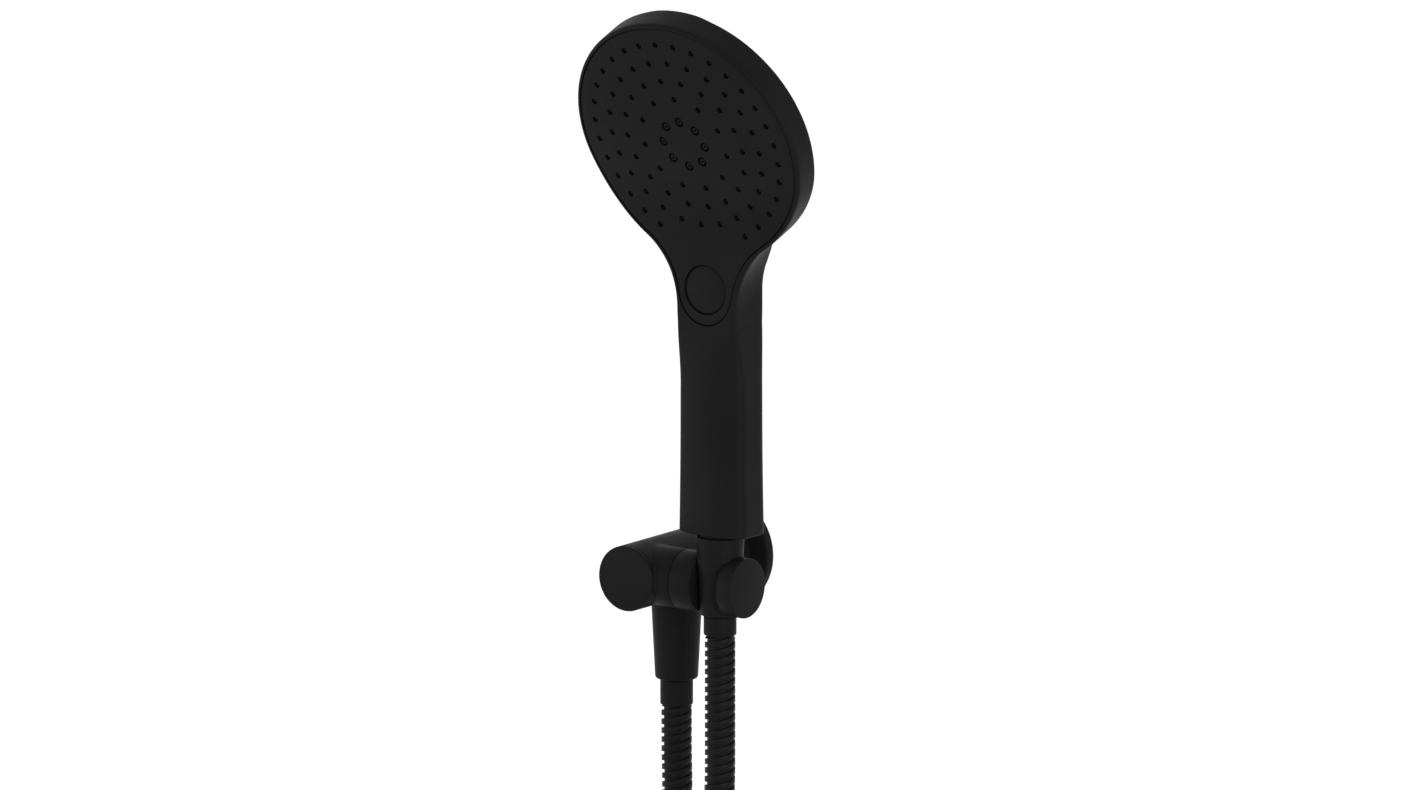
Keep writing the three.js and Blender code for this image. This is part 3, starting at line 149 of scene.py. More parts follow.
class ShowerStageSettings(bpy.types.PropertyGroup):
    azimuth: number("Azimuth", "Camera's turn to the right of straight in front", radians(36.354),
                    subtype="ANGLE")
    elevation: number("Elevation", "Camera's height angle", radians(11.967), subtype="ANGLE")
    distance: length("Distance", "Camera to the point it looks at", 17.0)
    lens: number("Lens", "Focal length in millimetres", 952.0, min=10.0)
    world_level: number("World level", "Strength of the studio's even light", 0.75, min=0.0)
    lamp_level: number("Lamp level", "Strength of the soft lamps", 1.0, min=0.0)


SETTINGS = {
    "shower_handset": ShowerHandsetSettings,
    "shower_bracket": ShowerBracketSettings,
    "shower_hose": ShowerHoseSettings,
    "shower_finish": ShowerFinishSettings,
    "shower_stage": ShowerStageSettings,
}


# ------------------------------------------------------------------ node materials
class Finish:
    """A procedural material: one shader, with colour, roughness and relief drawn by noise."""

    def __init__(self, name, **sockets):
        self.material = bpy.data.materials.new(name)
        self.material.use_nodes = True
        self.nodes = self.material.node_tree.nodes
        self.links = self.material.node_tree.links
        self.shader = self.nodes["Principled BSDF"]
        for socket, value in sockets.items():
            self.shader.inputs[socket.replace("_", " ")].default_value = value
        self.place = self.nodes.new("ShaderNodeTexCoord").outputs["Object"]

    def node(self, kind, **inputs):
        made = self.nodes.new(kind)
        for socket, value in inputs.items():
            target = made.inputs[socket.replace("_", " ")]
            if isinstance(value, bpy.types.NodeSocket):
                self.links.new(value, target)
            else:
                target.default_value = value
        return made

    def pattern(self, kind, size, stretch=(1.0, 1.0, 1.0), **inputs):
        """A texture node whose patches are about size metres across."""
        mapping = self.node("ShaderNodeMapping", Vector=self.place, Scale=Vector(stretch) / size)
        return self.node(kind, Vector=mapping.outputs["Vector"], Scale=1.0, **inputs)

    def noise(self, size, detail=3.0, stretch=(1.0, 1.0, 1.0)):
        return self.pattern("ShaderNodeTexNoise", size, stretch, Detail=detail).outputs["Fac"]

    def cells(self, size):
        return self.pattern("ShaderNodeTexVoronoi", size).outputs["Distance"]

    def tint(self, value, first, second):
        """The base colour, from the first to the second with a noise value."""
        ramp = self.node("ShaderNodeValToRGB", Fac=value)
        for element, position, rgb in zip(ramp.color_ramp.elements, (0.35, 0.65), (first, second)):
            element.position = position
            element.color = (*rgb, 1.0)
        self.links.new(ramp.outputs["Color"], self.shader.inputs["Base Color"])

    def rough(self, value, low, high):
        """The roughness, between low and high with a noise value."""
        ends = {"From Min": 0.3, "From Max": 0.7, "To Min": low, "To Max": high}
        spread = self.node("ShaderNodeMapRange", Value=value, **ends)
        self.links.new(spread.outputs["Result"], self.shader.inputs["Roughness"])

    def relief(self, height, strength, distance):
        bump = self.node("ShaderNodeBump", Height=height, Strength=strength, Distance=distance)
        self.links.new(bump.outputs["Normal"], self.shader.inputs["Normal"])


def shade(rgb, by):
    return tuple(min(channel * by, 1.0) for channel in rgb)


def coated_black(name, rgb, roughness, grain, strength, level):
    """Sprayed matt black: an even orange peel, grain metres across, with an uneven sheen."""
    made = Finish(name, Specular_IOR_Level=level, IOR=1.45)
    broad = made.noise(0.045, 2.0)
    fine = made.noise(grain, 2.0)
    made.tint(broad, shade(rgb, 0.9), shade(rgb, 1.12))
    made.rough(made.noise(0.006, 3.0), roughness - 0.03, roughness + 0.04)
    made.relief(fine, strength, grain * 0.12)
    return made.material


def moulded_plastic(name, rgb, roughness, level=0.5):
    """Plastic from a spark-eroded mould: rounded grains and faint flow streaks."""
    made = Finish(name, Specular_IOR_Level=level, IOR=1.49)
    made.tint(made.noise(0.03, 2.0, (1, 1, 0.4)), shade(rgb, 0.92), shade(rgb, 1.05))
    made.rough(made.noise(0.004), roughness - 0.05, roughness + 0.06)
    made.relief(made.cells(0.0005), 0.12, 0.00006)
    return made.material


def soft_rubber(name, rgb, roughness):
    made = Finish(name, Specular_IOR_Level=0.2, IOR=1.41)
    made.tint(made.noise(0.008), shade(rgb, 0.8), shade(rgb, 1.3))
    made.rough(made.noise(0.002), roughness - 0.06, roughness + 0.06)
    made.relief(made.noise(0.0004), 0.2, 0.00005)
    return made.material


def machined_metal(name, rgb, roughness):
    """Turned metal: fine tool marks and dull patches."""
    made = Finish(name, Metallic=1.0)
    made.tint(made.noise(0.012), shade(rgb, 0.86), shade(rgb, 1.06))
    made.rough(made.noise(0.003), roughness - 0.06, roughness + 0.1)
    made.relief(made.noise(0.0006, 2.0, (1, 1, 6)), 0.15, 0.00004)
    return made.material


MATERIALS = {}


def make_finishes(settings):
    black, hose = settings.black, settings.hose_black
    rough = settings.black_roughness
    MATERIALS.update({
        "matt_black_shell": coated_black("shell_matt_black", black, rough, 0.0007, 0.1, 0.05),
        "matt_black_plate": coated_black(
            "plate_matt_black", shade(black, 1.05), rough + 0.02, 0.0005, 0.08, 0.05),
        "matt_black_metal": coated_black("metal_matt_black", black, rough, 0.0006, 0.1, 0.05),
        "matt_black_hose": coated_black("hose_matt_black", hose, rough - 0.08, 0.0004, 0.08, 0.07),
        "black_plastic": moulded_plastic("jet_black_plastic", (0.012, 0.012, 0.012), 0.5, 0.3),
        "white_plastic": moulded_plastic("inner_white_plastic", settings.white, 0.42),
        "silicone": soft_rubber("nozzle_silicone", settings.silicone, 0.62),
        "rubber": soft_rubber("seal_rubber", (0.008, 0.008, 0.008), 0.68),
        "strap": soft_rubber("tie_rubber", (0.01, 0.01, 0.0105), 0.6),
        "brass": machined_metal("fitting_brass", settings.brass, 0.3),
        "steel": machined_metal("screw_steel", settings.steel, 0.28),
        # painted shade: near-black brass for the inlet spigot, so that its end reads as a shadowed recess
        "recess_shade_brass": machined_metal("brass_painted_recess_shade", (0.01, 0.01, 0.011), 0.5),
    })


# ------------------------------------------------------------------ small mesh tools
MERGE_DISTANCE = 2e-7
SLIVER_LENGTH = 1e-7


def mix(a, b, t):
    return a + (b - a) * t


def smooth(value, low, high):
    t = min(max((value - low) / (high - low), 0.0), 1.0)
    return t * t * (3 - 2 * t)


def placed(name, data):
    """A new object in the scene."""
    made = bpy.data.objects.new(name, data)
    bpy.context.scene.collection.objects.link(made)
    return made


def cleaned(mesh, close=False):
    """Merges doubles and drops slivers; close also caps holes and turns the faces outward."""
    made = bmesh.new()
    made.from_mesh(mesh)
    bmesh.ops.remove_doubles(made, verts=made.verts, dist=MERGE_DISTANCE)
    bmesh.ops.dissolve_degenerate(made, edges=made.edges, dist=SLIVER_LENGTH)
    if close:
        open_edges = [edge for edge in made.edges if edge.is_boundary]
        if open_edges:
            bmesh.ops.holes_fill(made, edges=open_edges)
        bmesh.ops.recalc_face_normals(made, faces=made.faces)
    made.to_mesh(mesh)
    made.free()


def grown(name, vertices, faces, crease=40.0):
    """A closed piece from vertices in millimetres."""
    mesh = bpy.data.meshes.new(name)
    mesh.from_pydata([Vector(v) * MM for v in vertices], [], faces)
    cleaned(mesh, close=True)
    piece = placed(name, mesh)
    soften_shading(piece, crease)
    return piece


def lattice(rings, across, closed=False):
    """The quads between rings of across points each; when closed, the last ring meets the first."""
    quads = []
    for i in range(rings if closed else rings - 1):
        n = (i + 1) % rings
        for j in range(across):
            k = (j + 1) % across
            quads.append((i * across + j, i * across + k, n * across + k, n * across + j))
    return quads


def soften_shading(piece, crease):
    piece.data.shade_smooth()
    piece.data.set_sharp_from_angle(angle=radians(crease))


def apply_modifiers(piece):
    bpy.context.view_layer.update()
    evaluated = piece.evaluated_get(bpy.context.evaluated_depsgraph_get())
    mesh = bpy.data.meshes.new_from_object(evaluated)
    old = piece.data
    piece.modifiers.clear()
    piece.data = mesh
    mesh.name = piece.name
    bpy.data.meshes.remove(old)


def drop(piece):
    mesh = piece.data
    bpy.data.objects.remove(piece)
    bpy.data.meshes.remove(mesh)


def carved(piece, *tools, operation="DIFFERENCE", crease=40.0):
    """The piece less each tool, or joined with it; the tools are used up."""
    for tool in tools:
        step = piece.modifiers.new("carve", "BOOLEAN")
        step.operation = operation
        step.solver = "EXACT"
        step.object = tool
        apply_modifiers(piece)
        drop(tool)
        cleaned(piece.data)
    soften_shading(piece, crease)
    return piece


def softened(profile, steps=4):
    """A profile of [radius, height, round] corners with each round drawn as an arc."""
    points = []
    last = len(profile) - 1
    for i, corner in enumerate(profile):
        here = Vector(corner[:2])
        size = corner[2] if len(corner) > 2 else 0.0
        if size <= 0 or i in (0, last):
            points.append(tuple(here))
            continue
        before = Vector(profile[i - 1][:2]) - here
        after = Vector(profile[i + 1][:2]) - here
        opening = before.angle(after)
        reach = min(size / tan(opening / 2), before.length * 0.49, after.length * 0.49)
        start = here + before.normalized() * reach
        end = here + after.normalized() * reach
        inward = (before.normalized() + after.normalized()).normalized()
        middle = here + inward * reach / cos(opening / 2)
        radius = reach * tan(opening / 2)
        first = atan2(*(start - middle).yx)
        turn = (atan2(*(end - middle).yx) - first + pi) % (2 * pi) - pi
        points += [(middle.x + radius * cos(first + turn * k / steps),
                    middle.y + radius * sin(first + turn * k / steps)) for k in range(steps + 1)]
    return points


AROUND = {                         # a point at a radius, angle and height round each axis
    "X": lambda r, a, h: Vector((h, r * cos(a), r * sin(a))),
    "Y": lambda r, a, h: Vector((r * sin(a), h, r * cos(a))),
    "Z": lambda r, a, h: Vector((r * cos(a), r * sin(a), h)),
}


def turned(name, profile, place=(0, 0, 0), axis="Z", segments=96, crease=40.0, steps=4):
    """A lathed piece from [radius, height, round] corners; off the axis the profile is closed."""
    points = softened(profile, steps)
    closed = profile[0][0] > 0 or profile[-1][0] > 0
    vertices = [AROUND[axis](r, 2 * pi * j / segments, h) + Vector(place)
                for r, h in points for j in range(segments)]
    return grown(name, vertices, lattice(len(points), segments, closed), crease)


def rod(radius, low, high, place=(0, 0, 0), axis="Z", segments=64, rounds=(0, 0), name="tool"):
    """A solid cylinder, with its low and high edge rounded."""
    profile = [(0, low), (radius, low, rounds[0]), (radius, high, rounds[1]), (0, high)]
    return turned(name, profile, place, axis, segments)


def block(low, high):
    """A plain box, to cut with."""
    corners = [(x, y, z) for x in (low[0], high[0]) for y in (low[1], high[1])
               for z in (low[2], high[2])]
    faces = [(0, 1, 3, 2), (4, 6, 7, 5), (0, 4, 5, 1), (2, 3, 7, 6), (0, 2, 6, 4), (1, 5, 7, 3)]
    return grown("tool", corners, faces)


def joined(name, pieces, crease=40.0):
    """Several closed shells as one piece."""
    vertices, faces = [], []
    for piece in pieces:
        start = len(vertices)
        vertices += [piece.matrix_world @ v.co / MM for v in piece.data.vertices]
        faces += [tuple(start + i for i in face.vertices) for face in piece.data.polygons]
        drop(piece)
    return grown(name, vertices, faces, crease)


def set_on(piece, matrix):
    piece.data.transform(matrix)
    return piece


def put(piece, body, material, slot, *nodes):
    """The piece gets its finish, rides its body and stands for its CAD nodes. A piece with None for
    its body is left unattached. A piece that came out empty or open raises an error."""
    made = bmesh.new()
    made.from_mesh(piece.data)
    closed = len(made.faces) > 0 and all(edge.is_manifold for edge in made.edges)
    made.free()
    if not closed:
        raise RuntimeError(f"{piece.name} came out empty or open")
    piece.data.materials.clear()
    piece.data.materials.append(MATERIALS[material])
    if body:
        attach(piece, body)
    if nodes:
        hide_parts(*nodes)
    return piece


# ------------------------------------------------------------------ handset surface
# Millimetres in handset axes: X across, Y toward the wall, Z up, from the cradle's axis.
HANDSET_FOOT = 24.4
GRIP_FRONT = 12.05
GRIP_DEPTH = 24.1
GRIP_BACK_CROWN = 0.6
GRIP_HALF_WIDTHS = {"foot": 18.8, "waist": 17.9, "neck": 16.5}
GRIP_WAIST = HANDSET_FOOT + 62
GRIP_CROWN_RADIUS = 38
GRIP_CORNER = 3.4
GRIP_BACK_CORNERS = (6, 3)         # along the grip and at the neck
GRIP_SHOULDER = radians(18)        # turn of the crowned front where its corner begins
FOOT_ROUND = 0.8
HEAD_RADIUS = 60.8
HEAD_HEIGHT = 209.8
HEAD_FORWARD = 28.2
HEAD_TILT = radians(20.2)
HEAD_DEPTH = 16.8
HEAD_BACK_CROWN = 3.4
HEAD_DOME_RADIUS = 580
NECK_JOIN = 17.3
NECK_FILLET = 36
NECK_BACK_FILLET = 20
RIM_ROUND = 1.8
BACK_ROUND = 1
SEAM_MARGIN = 2.1
PLATE_THICKNESS = 2
PLATE_SUNK = 0.25
PLATE_END_HEIGHT = 122.9
PLATE_END_RADIUS = 14.4
PLATE_FILLET = 36
PLATE_END_CENTRE = PLATE_END_HEIGHT + PLATE_END_RADIUS
BUTTON_HEIGHT = BUTTON_CENTRE.z
CROWN_ENDS = (PLATE_END_HEIGHT - 30, PLATE_END_HEIGHT + 8)
HEAD_WALL = (-HEAD_RADIUS - 1.2, -HEAD_RADIUS + 10.8)
HEAD_BACK = (-HEAD_RADIUS + 3.8, -HEAD_RADIUS + 13.8)
RIDGE_FADES = (-HEAD_RADIUS - 1.2, -4)
RIDGE_SLOPE = 6
WALL_FLARE = 1.4                   # how soon the neck's side leaves the front's outline

HEAD_UP = Vector((0, -sin(HEAD_TILT), cos(HEAD_TILT)))
HEAD_OUT = Vector((0, -cos(HEAD_TILT), -sin(HEAD_TILT)))
CROWN = Vector((0, -HEAD_FORWARD, HEAD_HEIGHT))
NECK_TURN = HEAD_TILT + asin(NECK_JOIN / HEAD_DOME_RADIUS)


def dome_sag(distance):
    return distance ** 2 / (2 * HEAD_DOME_RADIUS)


NECK_TOP = CROWN - HEAD_UP * NECK_JOIN - HEAD_OUT * dome_sag(NECK_JOIN)
NECK_RADIUS = (-GRIP_FRONT - NECK_TOP.y) / (1 - cos(NECK_TURN))
NECK_START = NECK_TOP.z - NECK_RADIUS * sin(NECK_TURN)
NECK_END = NECK_START + NECK_RADIUS * NECK_TURN


def station(run):
    """The front's centre line: place and forward turn, run millimetres from the cradle's axis."""
    if run <= NECK_START:
        return Vector((0, -GRIP_FRONT, run)), 0.0
    if run <= NECK_END:
        turn = (run - NECK_START) / NECK_RADIUS
        forward = GRIP_FRONT + NECK_RADIUS * (1 - cos(turn))
        return Vector((0, -forward, NECK_START + NECK_RADIUS * sin(turn))), turn
    up = run - NECK_END - NECK_JOIN
    return CROWN + HEAD_UP * up - HEAD_OUT * dome_sag(up), HEAD_TILT


def above(run):
    """Distance up the face from the head's centre."""
    return (station(run)[0] - CROWN).dot(HEAD_UP)


RUNS = [HANDSET_FOOT - 2 + 0.25 * i for i in range(1100)]      # from below the foot past the head
ABOVES = [above(run) for run in RUNS]


def run_at(up):
    """The run that lies up millimetres above the head's centre."""
    i = min(max(bisect_left(ABOVES, up), 1), len(RUNS) - 1)
    t = (up - ABOVES[i - 1]) / (ABOVES[i] - ABOVES[i - 1])
    return mix(RUNS[i - 1], RUNS[i], t)


def outline(up, radius, straight, fillet):
    """Half the width of a round head that runs into a straight grip through a fillet."""
    across = straight + fillet
    fillets = -sqrt((radius + fillet) ** 2 - across ** 2)
    if up <= fillets:
        return straight
    if up < fillets * radius / (radius + fillet):
        return across - sqrt(fillet ** 2 - (up - fillets) ** 2)
    return sqrt(max(radius ** 2 - up ** 2, 0.0))


def grip_half_width(height):
    """Half the grip's width, which narrows upward and is level at the waist."""
    waist = GRIP_HALF_WIDTHS["waist"]
    if height < GRIP_WAIST:
        end, span = GRIP_HALF_WIDTHS["foot"], GRIP_WAIST - HANDSET_FOOT
    else:
        end, span = GRIP_HALF_WIDTHS["neck"], PLATE_END_HEIGHT - GRIP_WAIST
    return mix(waist, end, min(((height - GRIP_WAIST) / span) ** 2, 1.0))


def crown_sag(x, height):
    """How far the front falls away from its centre line: a round grip, a nearly flat head."""
    on_head = smooth(height, *CROWN_ENDS)
    return x ** 2 / 2 * mix(1 / GRIP_CROWN_RADIUS, 1 / HEAD_DOME_RADIUS, on_head)


def on_surface(x, run, depth):
    """A point depth millimetres behind the front's centre line."""
    place, turn = station(run)
    turn = mix(turn, HEAD_TILT, smooth(above(run), *HEAD_WALL))
    return Vector((x, place.y + depth * cos(turn), place.z + depth * sin(turn)))


def plate_half_width(run, margin):
    """Half the face plate's width, or its pocket's with a margin."""
    straight = PLATE_END_RADIUS + margin
    head = HEAD_RADIUS - SEAM_MARGIN + margin
    full = outline(above(run), head, straight, PLATE_FILLET - margin)
    below = max(PLATE_END_CENTRE - station(run)[0].z, 0.0)
    return full * sqrt(max(1 - (below / straight) ** 2, 0.0))


def back_depth(x, run):
    """The back: a flat grip that fades into a low ridge on the crowned back of the head."""
    up = above(run)
    height = station(run)[0].z
    half = grip_half_width(height)
    rim = HEAD_DEPTH - dome_sag(max(up, 0.0))
    dome = rim + HEAD_BACK_CROWN * max(1 - (x ** 2 + up ** 2) / HEAD_RADIUS ** 2, 0.0)
    centre = rim + HEAD_BACK_CROWN * max(1 - up ** 2 / HEAD_RADIUS ** 2, 0.0)
    ridge = mix(GRIP_DEPTH, centre, smooth(up, *RIDGE_FADES)) + GRIP_BACK_CROWN
    flat = ridge - GRIP_BACK_CROWN * min((x / half) ** 2, 1.0)
    beside = smooth(abs(x), half - RIDGE_SLOPE, half + RIDGE_SLOPE / 2)
    over = dome + max(ridge - centre, 0.0) * (1 - beside)
    return mix(flat, over, smooth(up, *HEAD_BACK))


# ------------------------------------------------------------------ handset shell and face plate
HEAD_STEPS = 72
FILLET_STEPS = 34
END_STEPS = 16
GRIP_RUNS = 30
GRIP_SPREAD = 1.3                  # above 1, the rows are closer near the plate
FOOT_STEPS = 4
FRONT_COLUMNS = 12
ROUND_COLUMNS = 6
WALL_COLUMNS = 8
BACK_COLUMNS = 12
ROUND_SHARE = 0.85                 # share of the head's radius down to which its outline is round
LEAN_RISE = 6                      # height over which the seam starts to follow the rim
POCKET_STEP = 1.2


def shell_outline(plate_low):
    """The runs of the shell's rows from the head's top down to the foot, each with its inset at the
    foot's round; the plate's pocket ends at the run plate_low."""
    joint = -sqrt((HEAD_RADIUS + NECK_FILLET) ** 2 - (GRIP_HALF_WIDTHS["neck"] + NECK_FILLET) ** 2)
    joint *= HEAD_RADIUS / (HEAD_RADIUS + NECK_FILLET)
    last = acos(joint / HEAD_RADIUS)
    ups = [HEAD_RADIUS * cos(last * k / HEAD_STEPS) for k in range(HEAD_STEPS + 1)]
    runs = [run_at(up) for up in ups]
    rows = [(run, 0.0) for run in runs]
    centre = plate_low + PLATE_END_RADIUS + RUN_GAP
    rows += [(mix(runs[-1], centre, k / FILLET_STEPS), 0.0) for k in range(1, FILLET_STEPS)]
    rows += [(centre - (centre - plate_low) * sin(pi / 2 * k / END_STEPS), 0.0)
             for k in range(END_STEPS + 1)]
    low = HANDSET_FOOT + FOOT_ROUND
    rows += [(mix(plate_low, low, (k / GRIP_RUNS) ** GRIP_SPREAD), 0.0)
             for k in range(1, GRIP_RUNS + 1)]
    angles = [radians(90 * k / FOOT_STEPS) for k in range(1, FOOT_STEPS + 1)]
    rows += [(HANDSET_FOOT + FOOT_ROUND * (1 - sin(a)), FOOT_ROUND * (1 - cos(a))) for a in angles]
    return rows


def half_widths(run):
    """Half the shell's width at the front and at the back."""
    up = above(run)
    bar = grip_half_width(station(run)[0].z)
    return (outline(up, HEAD_RADIUS, bar, NECK_FILLET),
            outline(up, HEAD_RADIUS, bar, NECK_BACK_FILLET))


def shell_rows():
    """The right half of the shell, one row of points from the front's middle round to the back's,
    and one row for the pocket where the plate lies."""
    plate_low = PLATE_END_HEIGHT - RUN_GAP
    rows = shell_outline(plate_low)
    edge_line = [Vector((half_widths(run)[0] - inset, run)) for run, inset in rows]
    skin, pocket = [], []
    for k, (run, inset) in enumerate(rows):
        width, back_width = half_widths(run)
        width -= inset
        back_width -= inset
        first, second = edge_line[max(k - 1, 0)], edge_line[min(k + 1, len(rows) - 1)]
        height = station(run)[0].z
        up = above(run)
        if k == 0:
            normal = Vector((0, 1))
        elif up > -HEAD_RADIUS * ROUND_SHARE and width > 0:
            normal = Vector((width, up)).normalized()
        else:
            slope = second - first
            normal = Vector((-slope.y, slope.x)).normalized()
            if inset > 0 or height < PLATE_END_CENTRE - PLATE_END_RADIUS:
                normal = Vector((1, 0))
        on_head = smooth(up, *HEAD_BACK)
        on_front = smooth(height, *CROWN_ENDS)
        edge = mix(GRIP_CORNER, RIM_ROUND, on_front)
        shoulder = mix(GRIP_SHOULDER, 0.0, on_front)
        roll = edge * cos(shoulder) / (1 - sin(shoulder))
        back_edge = mix(mix(*GRIP_BACK_CORNERS, on_front), BACK_ROUND, on_head)
        lean = normal.y * min(max((height - PLATE_END_CENTRE) / LEAN_RISE, 0.0), 1.0)
        seam_run = run - lean * (SEAM_MARGIN - RUN_GAP)
        seam = plate_half_width(seam_run, RUN_GAP) if run >= plate_low - 1e-6 else 0.0
        if seam <= 1e-6:
            seam_run = run if run < PLATE_END_CENTRE else seam_run
        if k == 0:
            width = back_width = seam = 0.0
        outer = Vector((width, run)) - normal * edge
        outer.x = max(outer.x, seam)
        sag = crown_sag(max(outer.x, 0), height) + inset
        row = []
        for c in range(FRONT_COLUMNS + 1):
            t = c / FRONT_COLUMNS
            x, r = mix(seam, outer.x, t), mix(seam_run, outer.y, t)
            row.append(on_surface(x, r, crown_sag(x, height) + inset))
        for c in range(1, ROUND_COLUMNS + 1):
            a = mix(shoulder, pi / 2, c / ROUND_COLUMNS)
            place = outer + normal * edge * (sin(a) - sin(shoulder)) / (1 - sin(shoulder))
            fall = sag + roll * (1 - cos(a) / cos(shoulder))
            row.append(on_surface(max(place.x, 0), place.y, fall))
        rear = Vector((back_width, run)) - normal * back_edge
        rear.x = max(rear.x, 0.0)
        deep = back_depth(rear.x, rear.y) - inset
        for c in range(1, WALL_COLUMNS + 1):
            t = c / WALL_COLUMNS
            x = back_width + (width - back_width) * (1 - t) ** WALL_FLARE
            row.append(on_surface(x, run, mix(sag + roll, deep - back_edge, t)))
        for c in range(1, ROUND_COLUMNS + 1):
            a = pi / 2 * c / ROUND_COLUMNS
            place = rear + normal * back_edge * cos(a)
            row.append(on_surface(max(place.x, 0), place.y, deep - back_edge * (1 - sin(a))))
        for c in range(1, BACK_COLUMNS + 1):
            x = rear.x * (1 - c / BACK_COLUMNS)
            row.append(on_surface(x, rear.y, back_depth(x, rear.y) - inset))
        skin.append(row)
        if run >= plate_low - 1e-6:
            floor = PLATE_SUNK + PLATE_THICKNESS + RUN_GAP
            side = crown_sag(seam, height)
            deepest = [on_surface(seam * t, seam_run, crown_sag(seam * t, height) + floor)
                       for t in (0.0, 0.25, 0.5, 0.75)]
            pocket.append(deepest + [on_surface(seam, seam_run, side + depth)
                                     for depth in (floor, POCKET_STEP, 0.0)])
    return skin, pocket


def both_halves(grids):
    """Vertices and faces of row grids on the right, with their mirror images."""
    vertices, faces = [], []
    for grid in grids:
        across = len(grid[0])
        for mirror in (1, -1):
            start = len(vertices)
            vertices += [Vector((mirror * p.x, p.y, p.z)) for row in grid for p in row]
            for i in range(len(grid) - 1):
                for j in range(across - 1):
                    a = start + i * across + j
                    quad = (a, a + 1, a + across + 1, a + across)
                    faces.append(quad if mirror > 0 else quad[::-1])
    return vertices, faces


HANDSET_PLACE = Matrix.Translation(Vector((SOCKET_X, AXIS_Y, 0)) * MM)
CROWN_PLACE = HANDSET_PLACE @ Matrix.Translation(CROWN * MM)
FACE_PLACE = CROWN_PLACE @ Matrix.Rotation(pi / 2 + HEAD_TILT, 4, "X")
NECK_PLACE = CROWN_PLACE @ Matrix.Rotation(HEAD_TILT, 4, "X")


def on_handset(piece):
    return set_on(piece, HANDSET_PLACE)


def on_face(piece):
    """From +Z out of the spray face to the row frame."""
    return set_on(piece, FACE_PLACE)


CAVITY_RADIUS = 53.9
CAVITY_FLOOR = 2.6 - HEAD_DEPTH
CAVITY_TOP = -2.0
SELECTOR_HALF = Vector((11.8, 0, 12.3))
SELECTOR_FRONT = -10.4
SELECTOR_BACK = 10.3
BORE_RADIUS = 9.6
BORE_LENGTH = 92
TUBE_BORE = 4.9
FEED_BORE = 4.9
FEED_DEPTH = 11
FEED_SPAN = (-68.6, -50.6)


def handset_shell():
    """The one-piece shell, hollowed for the spray parts, the selector and the water tube."""
    skin, pocket = shell_rows()
    vertices, faces = both_halves([skin, pocket])
    shell = on_handset(grown("handset_shell", vertices, faces, 35.0))
    low = BUTTON_HEIGHT - SELECTOR_HALF.z
    high = BUTTON_HEIGHT + SELECTOR_HALF.z
    hollows = [
        on_face(rod(CAVITY_RADIUS, CAVITY_FLOOR, CAVITY_TOP, segments=96)),
        on_handset(block((-SELECTOR_HALF.x, SELECTOR_FRONT, low),
                         (SELECTOR_HALF.x, SELECTOR_BACK, high))),
        set_on(rod(FEED_BORE, *FEED_SPAN, place=(0, FEED_DEPTH, 0)), NECK_PLACE),
        on_handset(rod(BORE_RADIUS, HANDSET_FOOT - 5, HANDSET_FOOT + BORE_LENGTH, segments=96)),
        on_handset(rod(TUBE_BORE, HANDSET_FOOT + BORE_LENGTH - 1, low + 1)),
    ]
    return carved(shell, *hollows, crease=35.0)


NOZZLE_FIELD_INNER = 23.3
NOZZLE_FIELD_OUTER = HEAD_RADIUS - 10.1
NOZZLE_RINGS = [(11, 90.0), (18, 0.0), (24, 0.0), (32, 5.625)]   # count, first angle
NECK_NOZZLES_LEFT_OUT = 4
JET_RING_RADIUS = 11.55
JET_COUNT = 8
MAT_RADIUS = HEAD_RADIUS - 7.2
MAT_DEPTH = 5.1
MAT_THICKNESS = 1.9
JET_INSERT_RADIUS = 15.6
JET_SUNK = 0.35
TIP_ROOT = 0.5                     # how far a nozzle's foot lies inside its disc
TIP_SHARES = (1.35, 1.2, 0.42)     # foot, middle and bore in a nozzle's radius
TIP_BORE_DEPTH = 1.2


def ring_places(radius, total, first=0.0):
    angles = [first + 2 * pi * i / total for i in range(total)]
    return [Vector((radius * cos(angle), radius * sin(angle), 0)) for angle in angles]


def nozzle_places():
    """The rain nozzles' rings; the outer one leaves out those over the neck."""
    last = len(NOZZLE_RINGS) - 1
    places = []
    for ring, (total, first) in enumerate(NOZZLE_RINGS):
        radius = mix(NOZZLE_FIELD_INNER, NOZZLE_FIELD_OUTER, ring / last)
        for place in ring_places(radius, total, radians(first)):
            from_bottom = abs(atan2(place.x, -place.y))
            if ring < last or from_bottom > NECK_NOZZLES_LEFT_OUT * pi / total:
                places.append(place)
    return places


def jet_places():
    return ring_places(JET_RING_RADIUS, JET_COUNT)


def plate_front(place):
    """Height of the plate's face over the crown's plane at a nozzle."""
    middle = station(run_at(place.y))[0]
    return (middle - CROWN).dot(HEAD_OUT) - crown_sag(place.x, middle.z) - PLATE_SUNK


SEAM_EXTRA = 0.15
PLATE_ROUND_SHARE = 0.86
PLATE_COLUMNS = 16
PLATE_BACK_COLUMNS = 8
DRILL_REACH = 12


